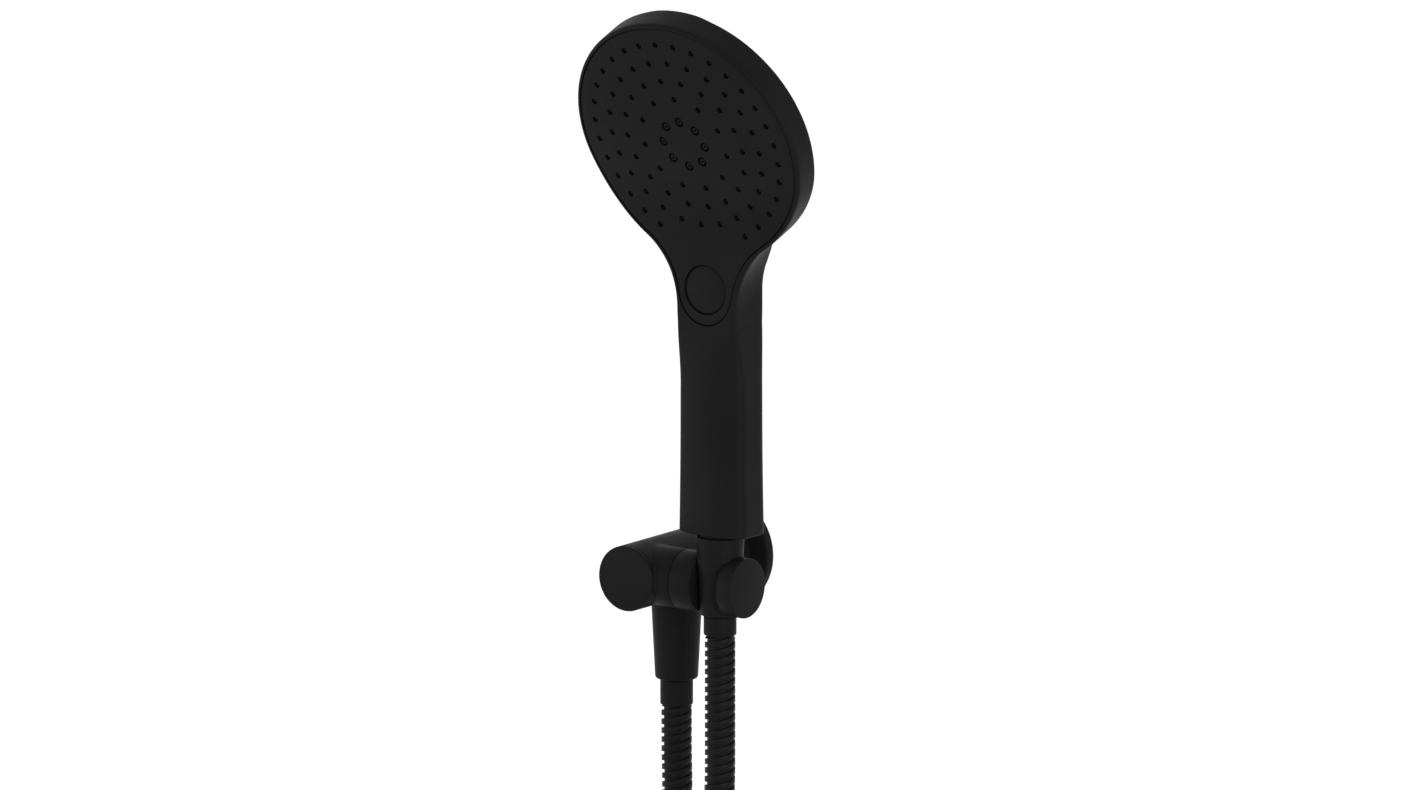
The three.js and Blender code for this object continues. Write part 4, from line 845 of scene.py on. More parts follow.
def face_plate(settings):
    """The face plate: one curved sheet from the head's rim down to its round end at the button."""
    last = acos(-PLATE_ROUND_SHARE)
    head_runs = [run_at((HEAD_RADIUS - SEAM_MARGIN) * cos(last * k / HEAD_STEPS))
                 for k in range(HEAD_STEPS + 1)]
    neck_runs = [mix(head_runs[-1], PLATE_END_CENTRE, k / FILLET_STEPS)
                 for k in range(1, FILLET_STEPS)]
    end_runs = [PLATE_END_CENTRE - PLATE_END_RADIUS * sin(pi / 2 * k / END_STEPS)
                for k in range(END_STEPS + 1)]
    runs = head_runs + neck_runs + end_runs
    line = [Vector((max(plate_half_width(run, 0.0) - SEAM_EXTRA, 0.0), run)) for run in runs]
    edge = settings.seam_round / MM
    grid = []
    for k, point in enumerate(line):
        slope = line[min(k + 1, len(line) - 1)] - line[max(k - 1, 0)]
        normal = Vector((-slope.y, slope.x)).normalized()
        if k in (0, len(line) - 1):
            normal = Vector((0, 1 if k == 0 else -1))
        height = station(point.y)[0].z
        inner = point - normal * edge
        inner.x = max(inner.x, 0.0)
        row = []
        for c in range(PLATE_COLUMNS + 1):
            x = inner.x * c / PLATE_COLUMNS
            row.append(on_surface(x, inner.y, crown_sag(x, height) + PLATE_SUNK))
        side = crown_sag(inner.x, height) + PLATE_SUNK
        for a in (30, 60, 90):
            place = inner + normal * edge * sin(radians(a))
            row.append(on_surface(max(place.x, 0.0), place.y, side + edge * (1 - cos(radians(a)))))
        for c in range(PLATE_BACK_COLUMNS + 1):
            x = point.x * (1 - c / PLATE_BACK_COLUMNS)
            row.append(on_surface(x, point.y, crown_sag(x, height) + PLATE_SUNK + PLATE_THICKNESS))
        grid.append(row)
    vertices, faces = both_halves([grid])
    plate = on_handset(grown("spray_plate", vertices, faces, 35.0))
    nozzle, jet = settings.nozzle_hole / MM, settings.jet_hole / MM
    pins = [rod(nozzle, -DRILL_REACH, DRILL_REACH, place, segments=24) for place in nozzle_places()]
    pins += [rod(jet, -DRILL_REACH, DRILL_REACH, place, segments=32) for place in jet_places()]
    drills = on_face(joined("tool", pins))
    button = on_handset(rod(BUTTON_RADIUS + RUN_GAP, -40, 0, (0, 0, BUTTON_HEIGHT), "Y", 128))
    return carved(plate, drills, button, crease=35.0)


def nozzle_tip(place, radius, base, proud):
    """A hollow nozzle with a rounded lip, from base to proud over the plate's face."""
    top = plate_front(place) + proud
    foot, middle, bore = (radius * share for share in TIP_SHARES)
    profile = [(0, base), (foot, base), (middle, mix(base, top, 0.5), 0.3),
               (radius, top - 0.35, 0.2), (radius, top, radius * 0.35), (bore, top, 0.12),
               (bore, top - TIP_BORE_DEPTH), (0, top - TIP_BORE_DEPTH)]
    return turned("tool", profile, place, segments=20)


def tip_disc(name, inner, outer, segments, radius, sunk, places):
    """A disc, or a ring, with a nozzle at each place."""
    low, high = -MAT_DEPTH - MAT_THICKNESS, -MAT_DEPTH
    profile = [(inner, low), (outer, low, 0.3), (outer, high, 0.3), (inner, high)]
    disc = turned("tool", profile, segments=segments)
    tips = [nozzle_tip(place, radius, high - TIP_ROOT, -sunk) for place in places]
    return on_face(joined(name, [disc, *tips]))


def nozzle_field(settings):
    """The silicone mat with all its rain nozzles."""
    return tip_disc("nozzle_field", JET_INSERT_RADIUS + RUN_GAP, MAT_RADIUS, 96,
                    settings.nozzle_radius / MM, settings.nozzle_sunk / MM, nozzle_places())


def jet_cluster(settings):
    """The disc of eight centre jets."""
    return tip_disc("jet_cluster", 0, JET_INSERT_RADIUS, 64, settings.jet_radius / MM, JET_SUNK,
                    jet_places())


BUTTON_RADIUS = 11.4
BUTTON_STEM_RADIUS = 3.4
BUTTON_SKIRT = 1.5                 # thin skirt behind the button's edge
BUTTON_SKIRT_WALL = 0.6
BUTTON_FACE = -GRIP_FRONT - 0.5
BUTTON_BACK = BUTTON_FACE + 2.5
BUTTON_STEM_END = BUTTON_BACK + 8.5
DOME_SHARES = (0.0, 0.2, 0.4, 0.6, 0.75, 0.86)


def button_cap(settings):
    """The round button with its soft edge, low dome and thin skirt, on its stem."""
    dome = settings.button_dome / MM
    skirt, inside = BUTTON_BACK + BUTTON_SKIRT, BUTTON_RADIUS - BUTTON_SKIRT_WALL
    profile = [(BUTTON_RADIUS * share, BUTTON_FACE + dome * share ** 2) for share in DOME_SHARES]
    profile += [(BUTTON_RADIUS, BUTTON_FACE + dome, 0.8), (BUTTON_RADIUS, skirt, 0.1),
                (inside, skirt, 0.1), (inside, BUTTON_BACK, 0.1),
                (BUTTON_STEM_RADIUS, BUTTON_BACK, 0.3), (BUTTON_STEM_RADIUS, BUTTON_STEM_END, 0.4),
                (0, BUTTON_STEM_END)]
    return on_handset(turned("button_cap", profile, (0, 0, BUTTON_HEIGHT), "Y", 128, 50.0))


# ------------------------------------------------------------------ springs
SPRING_WIRE = 0.5
SPRING_STEPS = 24                  # wire sections per turn
WIRE_SIDES = 8


def wound_spring(name, node, axis, turns):
    """An open coil of round wire that fills its CAD node's box along the axis."""
    low, high = (Vector(corner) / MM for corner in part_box(node))
    k = "XYZ".index(axis)
    middle = (low + high) / 2
    radius = (high - low)[(k + 1) % 3] / 2 - SPRING_WIRE / 2
    start, end = low[k] + SPRING_WIRE / 2, high[k] - SPRING_WIRE / 2
    steps = turns * SPRING_STEPS
    vertices = []
    for i in range(steps + 1):
        angle = 2 * pi * turns * i / steps
        for j in range(WIRE_SIDES):
            turn = 2 * pi * j / WIRE_SIDES
            out = radius + SPRING_WIRE / 2 * cos(turn)
            place = middle.copy()
            place[k] = mix(start, end, i / steps) + SPRING_WIRE / 2 * sin(turn)
            place[(k + 1) % 3] += out * cos(angle)
            place[(k + 2) % 3] += out * sin(angle)
            vertices.append(place)
    last = steps * WIRE_SIDES
    faces = lattice(steps + 1, WIRE_SIDES)
    faces += [tuple(range(WIRE_SIDES)), tuple(range(last, last + WIRE_SIDES))]
    return grown(name, vertices, faces, 60.0)


def squeezed(piece, axis, from_high):
    """Reads the piece's reach along the axis and gives the piece its own mesh; the piece is not shortened."""
    k = "XYZ".index(axis)
    reach = [vertex.co[k] for vertex in piece.data.vertices]
    low, high = min(reach), max(reach)
    anchor, line = [0.0, 0.0, 0.0], [0.0, 0.0, 0.0]
    anchor[k], line[k] = (high if from_high else low), 1.0
    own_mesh(piece)


# ------------------------------------------------------------------ hose ends
NUT_LENGTH = 37
NUT_TAPER = 0.05
NUT_SHOULDER = 1.4
NUT_THREAD_DEPTH = 16.3
THREAD_BORE = 10.2
FERRULE_RADIUS = 7.55
FERRULE_NECK_RADIUS = 5.6
FERRULE_BORE = 4.7
HANDSET_NUT = {"radius": 11.2, "top": top_of("handset_nut"), "place": (SOCKET_X, AXIS_Y),
               "ferrule": 9.0}
OUTLET_Y = (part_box("outlet_nut")[0][1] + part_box("outlet_nut")[1][1]) / 2 / MM
OUTLET_NUT = {"radius": 11.7, "top": top_of("outlet_nut"), "place": (0.0, OUTLET_Y),
              "ferrule": 12.0}


def ferrule_end(nut):
    """Where the ferrule under this nut ends, down from the nut's top."""
    return -NUT_LENGTH - RUN_GAP - nut["ferrule"]


def union_nut(name, nut):
    """A plain tapered union nut with a soft shoulder."""
    foot = nut["radius"] - NUT_TAPER * NUT_LENGTH
    waist = FERRULE_NECK_RADIUS + RUN_GAP
    profile = [(waist, -NUT_LENGTH), (foot, -NUT_LENGTH, NUT_SHOULDER), (nut["radius"], 0, 0.5),
               (THREAD_BORE, 0, 0.4), (THREAD_BORE, -NUT_THREAD_DEPTH, 0.2),
               (waist, -NUT_THREAD_DEPTH)]
    return turned(name, profile, (*nut["place"], nut["top"]), segments=128, steps=6)


def crimped_ferrule(name, nut):
    """The sleeve that holds the hose under its nut."""
    low = ferrule_end(nut)
    neck = top_of(name.replace("_sleeve", "_ferrule")) - nut["top"]
    under_nut = -NUT_LENGTH - RUN_GAP
    profile = [(FERRULE_BORE, low), (FERRULE_RADIUS, low, 0.7), (FERRULE_RADIUS, under_nut, 0.3),
               (FERRULE_NECK_RADIUS, under_nut), (FERRULE_NECK_RADIUS, neck), (FERRULE_BORE, neck)]
    return turned(name, profile, (*nut["place"], nut["top"]), segments=96)


# ------------------------------------------------------------------ wall elbow
ELBOW_RADIUS = 15.2
ELBOW_REACH = -AXIS_Y
ELBOW_NOSE = 16.3
CAP_THICKNESS = 2
CAP_SPIGOT_LENGTH = 7
CAP_SPIGOT_RADIUS = 11
FLANGE_RADIUS = 25.3
FLANGE_THICKNESS = 4.6
FLANGE_ROUND = 1.2
FLANGE_GROOVE = (17.3, 2.0)        # radius and depth
INLET_BORE_RADIUS = 10.6
OUTLET_BACK = OUTLET_Y - AXIS_Y
WATERWAY_BACK = 3.9
OUTLET_BOSS_RADIUS = 13
OUTLET_BOSS_DROP = 0.5
OUTLET_SCREWED_DEPTH = 9
OUTLET_WATERWAY = 7.6
CRADLE_RADIUS = 13.85
CRADLE_SEAM = 22.3
CRADLE_END = 57.5
CRADLE_CAP_THICKNESS = 1.2
SLOT_WIDTH = 15.4
PIVOT_RADIUS = 3
PIVOT_HEAD_RADIUS = 5.2
PIVOT_DEPTH = 15
PIVOT_WEB = 3.4
WASHER_RADIUS = 11
WASHER_THICKNESS = 1.5
GRUB_RADIUS = 2.5
GRUB_FROM_WALL = 11
BODY_FRONT = -ELBOW_NOSE + CAP_THICKNESS + RUN_GAP
BODY_BACK = ELBOW_REACH - 0.8
ON_AXIS = (0, AXIS_Y, 0)
STUB_SEGMENTS = 96
STUB_FILLET_STEPS = 6
STUB_EDGE = [(0, 0.97), (0.08, 0.993), (0.25, 1)]     # back from the face, share of the radius
RING_GROOVE = (2, 0.3, 2.3)        # depth, and reach before and past its ring's near side
NIPPLE_BORE = 6.5
THREAD_CREST = 9.9
THREAD_START = 1.2
THREAD_SEGMENTS = 64
THREAD_DEPTH = 0.64                # in pitches
THREAD_FORM = [                    # shares of a pitch, and whether each is on the crest
    (0.0, False), (0.3, False), (0.42, True), (0.58, True), (0.7, False), (1.0, False)]
HEX_SOCKET_RADIUS = 1.44
HEX_SOCKET_DEPTH = 2


def elbow_stub(settings):
    """The stub that carries the cradle, with a fillet onto the barrel."""
    fillet = settings.stub_fillet / MM
    face = CRADLE_SEAM - RUN_GAP / 2
    columns = []
    for j in range(STUB_SEGMENTS):
        angle = 2 * pi * j / STUB_SEGMENTS
        y, z = CRADLE_RADIUS * cos(angle), CRADLE_RADIUS * sin(angle)
        meets = sqrt(ELBOW_RADIUS ** 2 - z ** 2)
        corner = Vector((meets, y, z))
        start = Vector((meets + fillet, y, z))
        out = Vector((0, cos(angle), sin(angle)))
        barrel = Vector((meets, 0, z)).normalized()
        away = (out - barrel * out.dot(barrel)).normalized()
        end = corner + away * fillet
        end.x = sqrt(ELBOW_RADIUS ** 2 - end.z ** 2) if abs(end.z) < ELBOW_RADIUS else 0.0
        column = [Vector((face - back, y * share, z * share)) for back, share in STUB_EDGE]
        for k in range(STUB_FILLET_STEPS + 1):
            t = k / STUB_FILLET_STEPS
            column.append(start * (1 - t) ** 2 + corner * (2 * t * (1 - t)) + end * t ** 2)
        # The last two points lie inside the barrel, so that the union has a clean seam.
        column.append(Vector((end.x - 1.0, end.y * 0.97, end.z * 0.93)))
        column.append(Vector((3.0, y * 0.6, z * 0.6)))
        columns.append(column)
    total = len(columns[0])
    vertices = [point for column in columns for point in column]
    faces = []
    for j in range(STUB_SEGMENTS):
        here, there = j * total, (j + 1) % STUB_SEGMENTS * total
        faces += [(here + i, there + i, there + i + 1, here + i + 1) for i in range(total - 1)]
    return set_on(grown("tool", vertices, faces), Matrix.Translation(Vector(ON_AXIS) * MM))


def elbow_casting(settings):
    """The wall elbow: barrel, cradle stub and outlet boss in one casting, bored for the water."""
    edge = settings.edge_round / MM
    barrel = rod(ELBOW_RADIUS, BODY_FRONT, BODY_BACK, ON_AXIS, "Y", 128, (0.35, edge),
                 "elbow_casting")
    face = -ELBOW_RADIUS - OUTLET_BOSS_DROP
    outlet = (0, OUTLET_Y, 0)
    boss = rod(OUTLET_BOSS_RADIUS, face, -2, outlet, "Z", 96, (0.5, 0))
    carved(barrel, elbow_stub(settings), boss, operation="UNION")
    bore_end = OUTLET_BACK + WATERWAY_BACK
    return carved(
        barrel,
        rod(CAP_SPIGOT_RADIUS + RUN_GAP, BODY_FRONT - 1, BODY_FRONT + CAP_SPIGOT_LENGTH, ON_AXIS,
            "Y"),
        rod(INLET_BORE_RADIUS, bore_end, BODY_BACK + 1, ON_AXIS, "Y", 96),
        rod(OUTLET_WATERWAY, OUTLET_BACK - 6, bore_end + 1, ON_AXIS, "Y"),
        rod(THREAD_BORE, face - 1, face + OUTLET_SCREWED_DEPTH + RUN_GAP, outlet),
        rod(OUTLET_WATERWAY, face + OUTLET_SCREWED_DEPTH - 1, 2, outlet),
        rod(GRUB_RADIUS + RUN_GAP, -ELBOW_RADIUS - 1, 0, (0, -GRUB_FROM_WALL, 0), segments=32),
        rod(PIVOT_RADIUS + RUN_GAP, CRADLE_SEAM - PIVOT_DEPTH, CRADLE_SEAM + 1, ON_AXIS, "X", 32))


def elbow_front_cap(settings):
    """The barrel's front cap on its spigot."""
    edge = settings.edge_round / MM
    back = BODY_FRONT - RUN_GAP
    return turned("elbow_front_cap", [
        (0, -ELBOW_NOSE), (ELBOW_RADIUS, -ELBOW_NOSE, edge), (ELBOW_RADIUS, back, 0.3),
        (CAP_SPIGOT_RADIUS, back, 0.2), (CAP_SPIGOT_RADIUS, back + CAP_SPIGOT_LENGTH, 0.6),
        (0, back + CAP_SPIGOT_LENGTH)], ON_AXIS, "Y", 128)


def wall_rose():
    """The round wall flange, grooved at the back for its seal."""
    front = ELBOW_REACH - FLANGE_THICKNESS
    bore = ELBOW_RADIUS + RUN_GAP
    groove, deep = FLANGE_GROOVE
    return turned("wall_rose", [
        (bore, front, 0.4), (FLANGE_RADIUS, front, FLANGE_ROUND), (FLANGE_RADIUS, ELBOW_REACH, 0.3),
        (groove, ELBOW_REACH, 0.2), (groove, ELBOW_REACH - deep), (bore, ELBOW_REACH - deep)],
        ON_AXIS, "Y", 128, steps=6)


def wall_thread(settings):
    """The nipple that screws into the wall, with its pipe thread cut as a helix."""
    low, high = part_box("wall_nipple")
    inner, end = low[1] / MM, high[1] / MM
    pitch = settings.thread_pitch / MM
    root = THREAD_CREST - THREAD_DEPTH * pitch
    sealed = INLET_BORE_RADIUS - RUN_GAP
    head = [(NIPPLE_BORE, inner), (sealed, inner)]
    for ring in ("nipple_ring_1", "nipple_ring_2"):
        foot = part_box(ring)[0][1] / MM
        depth, before, after = RING_GROOVE
        head += [(sealed, foot - before), (sealed - depth, foot - before),
                 (sealed - depth, foot + after), (sealed, foot + after)]
    head += [(sealed, -0.4), (root, -0.4), (root, 0.4)]
    tail = [(root, end - 0.5), (root - 0.5, end), (NIPPLE_BORE, end)]
    angles = [2 * pi * j / THREAD_SEGMENTS for j in range(THREAD_SEGMENTS)]
    around, steps = AROUND["Y"], len(THREAD_FORM)
    vertices = [around(radius, angle, y) for radius, y in head for angle in angles]
    for k in range(int((end - THREAD_START - 1.4) / pitch) * steps):
        phase, on_crest = THREAD_FORM[k % steps]
        crest = THREAD_CREST if on_crest else root
        for angle in angles:
            y = THREAD_START + (k / steps + angle / (2 * pi)) * pitch
            fade = smooth(y, THREAD_START + pitch * 0.3, THREAD_START + pitch * 1.3) * (
                1 - smooth(y, end - 1.9, end - 0.9))
            y = THREAD_START + (k // steps + phase + angle / (2 * pi)) * pitch
            vertices.append(around(mix(root, crest, fade), angle, min(y, end - 0.5)))
    vertices += [around(radius, angle, y) for radius, y in tail for angle in angles]
    rings = len(vertices) // THREAD_SEGMENTS
    return grown("wall_thread", vertices, lattice(rings, THREAD_SEGMENTS, True), 30.0)


def hex_grub():
    """A grub screw with a hexagon socket."""
    low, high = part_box("grub_screw")
    place = (0, (low[1] + high[1]) / 2 / MM, 0)
    foot, head = low[2] / MM, high[2] / MM
    screw = rod(GRUB_RADIUS, foot, head, place, "Z", 48, (0.4, 0.6), "hex_grub")
    socket = rod(HEX_SOCKET_RADIUS, foot - 1, foot + HEX_SOCKET_DEPTH, place, segments=6)
    return carved(screw, socket)


# ------------------------------------------------------------------ cradle
WEB_START = CRADLE_SEAM + RUN_GAP / 2 + WASHER_THICKNESS + RUN_GAP
WEB_END = WEB_START + PIVOT_WEB
CAP_INSIDE = CRADLE_END - CRADLE_CAP_THICKNESS
CAP_SPIGOT = (4.5, 3.7)            # radius and depth
CAP_LINE = 0.05                    # the fine joint line between jaw and cap


def cradle_jaw(settings):
    """The tilting cradle: a barrel with a tapered socket and an open slot in front."""
    low, high = CRADLE_SEAM + RUN_GAP / 2, CAP_INSIDE - CAP_LINE
    jaw = rod(CRADLE_RADIUS, low, high, ON_AXIS, "X", 128, (0.25, 0.04), "cradle_jaw")
    tall = CRADLE_RADIUS + 1

    def socket_radius(height):
        down = HANDSET_NUT["top"] - height
        return HANDSET_NUT["radius"] - NUT_TAPER * down + RUN_GAP

    socket = turned("tool", [(0, -tall), (socket_radius(-tall), -tall), (socket_radius(tall), tall),
                             (0, tall)], (SOCKET_X, AXIS_Y, 0), segments=96)
    slot = block((SOCKET_X - SLOT_WIDTH / 2, AXIS_Y - CRADLE_RADIUS - 1, -tall),
                 (SOCKET_X + SLOT_WIDTH / 2, AXIS_Y, tall))
    carved(jaw, socket, slot)
    bevel = jaw.modifiers.new("edge", "BEVEL")
    bevel.width = settings.jaw_bevel
    bevel.segments = 2
    bevel.limit_method = "ANGLE"
    bevel.angle_limit = radians(35)
    bevel.use_clamp_overlap = True
    apply_modifiers(jaw)
    return carved(
        jaw,
        rod(WASHER_RADIUS + RUN_GAP, CRADLE_SEAM - 1, WEB_START, ON_AXIS, "X"),
        rod(PIVOT_RADIUS + RUN_GAP, WEB_START - 1, WEB_END + 1, ON_AXIS, "X", 32),
        rod(PIVOT_HEAD_RADIUS + RUN_GAP, WEB_END, SOCKET_X, ON_AXIS, "X", 48),
        rod(CAP_SPIGOT[0], CAP_INSIDE - CAP_SPIGOT[1], CAP_INSIDE + 1, ON_AXIS, "X", 32),
        crease=35.0)


def cradle_end_cap():
    """The cradle's end cap on its spigot."""
    spigot, inner = CAP_SPIGOT[0] - RUN_GAP, CAP_INSIDE - CAP_SPIGOT[1] + RUN_GAP
    return turned("cradle_end_cap", [
        (0, inner), (spigot, inner, 0.4), (spigot, CAP_INSIDE), (CRADLE_RADIUS, CAP_INSIDE, 0.04),
        (CRADLE_RADIUS, CRADLE_END, 0.45), (0, CRADLE_END)], ON_AXIS, "X", 128)


# ------------------------------------------------------------------ hose
HOSE_RADIUS = 7
COIL_RADIUS = 71
COIL_DROP = 237
COIL_PITCH = 14.6
COIL_MIDDLE = SOCKET_X / 2
COIL_BACK = OUTLET_BACK / 2
COIL_POINTS = 16                   # per turn
STRAND_ROUTE = [
    (0, 0, -60), (0, 0, -85), (0, 0, -110), (5.2, 0.15, -134), (15, 0.3, -148), (25, 0.45, -158.5),
    (35.5, 0.6, -170), (43, 0.75, -181), (46.8, 0.85, -189),
]                                  # out to the side, share of the way to the coil's edge, height
OUTLET_CLEAR = 7                   # route points nearer the outlet's ferrule are left out
TOP_PIECE = 86                     # length of the run that bends between ferrule and cradle
CURVE_STEPS = 10                   # between two control points
PATH_STEP = 4.0                    # between the points of a declared path
BAND_EDGE = (0.04, 0.18, 0.12)     # a band's edge: two steps along the hose and the round's depth
LIFT_START = 4.0                   # length of hose next to its ferrule
TIE_WIDTH = 12
TIE_THICKNESS = 1.6
TIE_SLACK = 0.15
TIE_STEPS = 24                     # per half turn


def strand_points(top, side, half_depth):
    """One strand from its ferrule down to the coil."""
    edge = COIL_BACK - side * half_depth
    return [top] + [Vector((top.x + side * out, mix(top.y, edge, share), height))
                    for out, share, height in STRAND_ROUTE]


def hose_line(turns):
    """The hose's control points from the handset's ferrule through the coil to the outlet's,
    and how many belong to the first strand."""
    half_depth = COIL_PITCH * turns / 2
    high, low = (nut["top"] + ferrule_end(nut) for nut in (HANDSET_NUT, OUTLET_NUT))
    first = strand_points(Vector((SOCKET_X, 0, high)), 1, half_depth)
    last = strand_points(Vector((0, OUTLET_BACK, low)), -1, half_depth)
    last = [last[0]] + [point for point in last[1:] if point.z < low - OUTLET_CLEAR]
    steps = round(turns * COIL_POINTS)
    coil = []
    for i in range(steps + 1):
        angle = -2 * pi * turns * i / steps
        coil.append(Vector((COIL_MIDDLE + COIL_RADIUS * cos(angle),
                            mix(COIL_BACK - half_depth, COIL_BACK + half_depth, i / steps),
                            -COIL_DROP + COIL_RADIUS * sin(angle))))
    points = first + coil + last[::-1]
    return [point + Vector((0, AXIS_Y, 0)) for point in points], len(first)


def through(points):
    """A centripetal curve through the points, with the index of each point on it."""
    padded = [points[0] * 2 - points[1]] + points + [points[-1] * 2 - points[-2]]
    line, marks = [], []
    for i in range(1, len(padded) - 2):
        p0, p1, p2, p3 = padded[i - 1:i + 3]
        t0, t1 = 0.0, sqrt((p1 - p0).length)
        t2 = t1 + sqrt((p2 - p1).length)
        t3 = t2 + sqrt((p3 - p2).length)
        marks.append(len(line))
        for k in range(CURVE_STEPS):
            t = mix(t1, t2, k / CURVE_STEPS)
            a1 = p0 * ((t1 - t) / (t1 - t0)) + p1 * ((t - t0) / (t1 - t0))
            a2 = p1 * ((t2 - t) / (t2 - t1)) + p2 * ((t - t1) / (t2 - t1))
            a3 = p2 * ((t3 - t) / (t3 - t2)) + p3 * ((t - t2) / (t3 - t2))
            b1 = a1 * ((t2 - t) / (t2 - t0)) + a2 * ((t - t0) / (t2 - t0))
            b2 = a2 * ((t3 - t) / (t3 - t1)) + a3 * ((t - t1) / (t3 - t1))
            line.append(b1 * ((t2 - t) / (t2 - t1)) + b2 * ((t - t1) / (t2 - t1)))
    marks.append(len(line))
    line.append(points[-1].copy())
    return line, marks


class Centreline:
    """A curve with its length and untwisted frames, read at any distance along it."""

    def __init__(self, line):
        self.line = line
        self.along = [0.0]
        for a, b in zip(line, line[1:]):
            self.along.append(self.along[-1] + (b - a).length)
        tangents = [(line[min(i + 1, len(line) - 1)] - line[max(i - 1, 0)]).normalized()
                    for i in range(len(line))]
        side = Vector((1, 0, 0))
        side = (side - tangents[0] * side.dot(tangents[0])).normalized()
        self.frames = []
        for i, tangent in enumerate(tangents):
            if i:
                side = tangents[i - 1].rotation_difference(tangent) @ side
                side = (side - tangent * side.dot(tangent)).normalized()
            self.frames.append((tangent, side, tangent.cross(side)))

    @property
    def length(self):
        return self.along[-1]

    def at(self, distance):
        i = min(max(bisect_left(self.along, distance), 1), len(self.along) - 1)
        t = (distance - self.along[i - 1]) / (self.along[i] - self.along[i - 1])
        place = self.line[i - 1].lerp(self.line[i], t)
        _, side, other = (a.lerp(b, t) for a, b in zip(self.frames[i - 1], self.frames[i]))
        return place, side.normalized(), other.normalized()

    def path(self, start, end):
        steps = max(ceil((end - start) / PATH_STEP), 2)
        return [self.at(mix(start, end, k / steps))[0] * MM for k in range(steps + 1)]


def banded_hose(name, centre, start, end, settings):
    """A stretch of hose wound of two spiral bands with square grooves between them."""
    spacing = settings.band_spacing / MM
    groove = settings.groove_width / MM
    base = HOSE_RADIUS - settings.groove_depth / MM
    sides = settings.sides
    land = spacing - groove
    wall, round_end, drop_in = BAND_EDGE
    profile = [(0.0, base), (wall, HOSE_RADIUS - drop_in), (round_end, HOSE_RADIUS),
               (land - round_end, HOSE_RADIUS), (land - wall, HOSE_RADIUS - drop_in), (land, base)]
    lead = 2 * spacing
    first = int(start // spacing) - 3
    last = int(ceil(end / spacing)) + 1
    marks = [(k * spacing + offset, radius)
             for k in range(first, last) for offset, radius in profile]
    per_lead = 2 * len(profile)
    columns = []
    for j in range(sides):
        angle = 2 * pi * j / sides
        column = []
        for offset, radius in marks:
            distance = offset + lead * angle / (2 * pi)
            place, side, other = centre.at(min(max(distance, start), end))
            out = side * cos(angle) + other * sin(angle)
            column.append(place + out * (radius if start <= distance <= end else base))
        columns.append(column)
    total = len(marks)
    vertices = [point for column in columns for point in column]
    faces = []

    def outside(j, i):
        distance = marks[i][0] + lead * j / sides
        return -1 if distance < start else (1 if distance > end else 0)

    for j in range(sides):
        wrap = per_lead if j == sides - 1 else 0        # the helix has risen by its lead there
        nxt = (j + 1) % sides
        for i in range(total - 1):
            k = i + wrap
            if k + 1 >= total:
                continue
            corners = [(j, i), (nxt, k), (nxt, k + 1), (j, i + 1)]
            states = {outside(a, b) for a, b in corners}
            if states in ({-1}, {1}):
                continue
            faces.append(tuple(a * total + b for a, b in corners))
    return grown(name, vertices, faces, 50.0)


def hose_tie_band(turns):
    """A strap round the coil's turns where they pass its top."""
    half_depth = COIL_PITCH * turns / 2
    tops = [k + 0.75 for k in range(int(turns) + 1) if k + 0.75 <= turns]
    offsets = [mix(-half_depth, half_depth, top / turns) for top in tops]
    centre = (offsets[0] + offsets[-1]) / 2
    span = (offsets[-1] - offsets[0]) / 2
    radius = HOSE_RADIUS + TIE_SLACK
    outer = radius + TIE_THICKNESS
    loop = [(sign * span, radians(first + 180 * k / TIE_STEPS))
            for sign, first in ((1, -90.0), (-1, 90.0)) for k in range(TIE_STEPS + 1)]
    half = TIE_WIDTH / 2
    section = softened([(radius, -half), (outer, -half, 0.5), (outer, half, 0.5), (radius, half)],
                       steps=3)
    vertices = [Vector((COIL_MIDDLE + w, AXIS_Y + COIL_BACK + centre + shift + r * cos(angle),
                        -COIL_DROP + COIL_RADIUS + r * sin(angle)))
                for shift, angle in loop for r, w in section]
    return grown("hose_tie_band", vertices, lattice(len(loop), len(section), True))


def declare_hose(centre, start, end):
    """The stretch from start to end, read from its fitting toward the next stretch."""
    path = centre.path(min(start, end), max(start, end))
    if end < start:
        path.reverse()


# ------------------------------------------------------------------ operators
BLACK_METAL = ("matt_black_metal", "matt_black_metal")       # finish and slot
BLACK_HOSE = ("matt_black_hose", "matt_black_hose")


class BuildStep(bpy.types.Operator):
    bl_options = {"REGISTER", "UNDO"}

    def execute(self, context):
        self.build(context.scene)
        return {"FINISHED"}


class SHOWER_OT_stage(BuildStep):
    """Set the camera, the pale floor, the soft lamps and the studio's light"""
    bl_idname = "shower.stage"
    bl_label = "Stage"

    def build(self, scene):
        settings = scene.shower_stage
        set_camera(scene, settings)
        set_floor()
        set_lamps(settings)
        set_world(scene, settings)
        scene.view_settings.view_transform = "Standard"


class SHOWER_OT_finishes(BuildStep):
    """Make the procedural finishes and put them on the kept CAD pieces"""
    bl_idname = "shower.finishes"
    bl_label = "Finishes"

    def build(self, scene):
        make_finishes(scene.shower_finish)
        slots = {row["node"]: row["material_slot"] for row in frame["record"]["subparts"]}
        slots["inlet_spigot"] = "recess_shade_brass"        # painted shade: the spigot's brass is coloured near-black so its visible end reads as a dark recess
        for name, node in NODES.items():
            for part in node.material_slots:
                part.material = MATERIALS[slots.get(name, "black_plastic")]


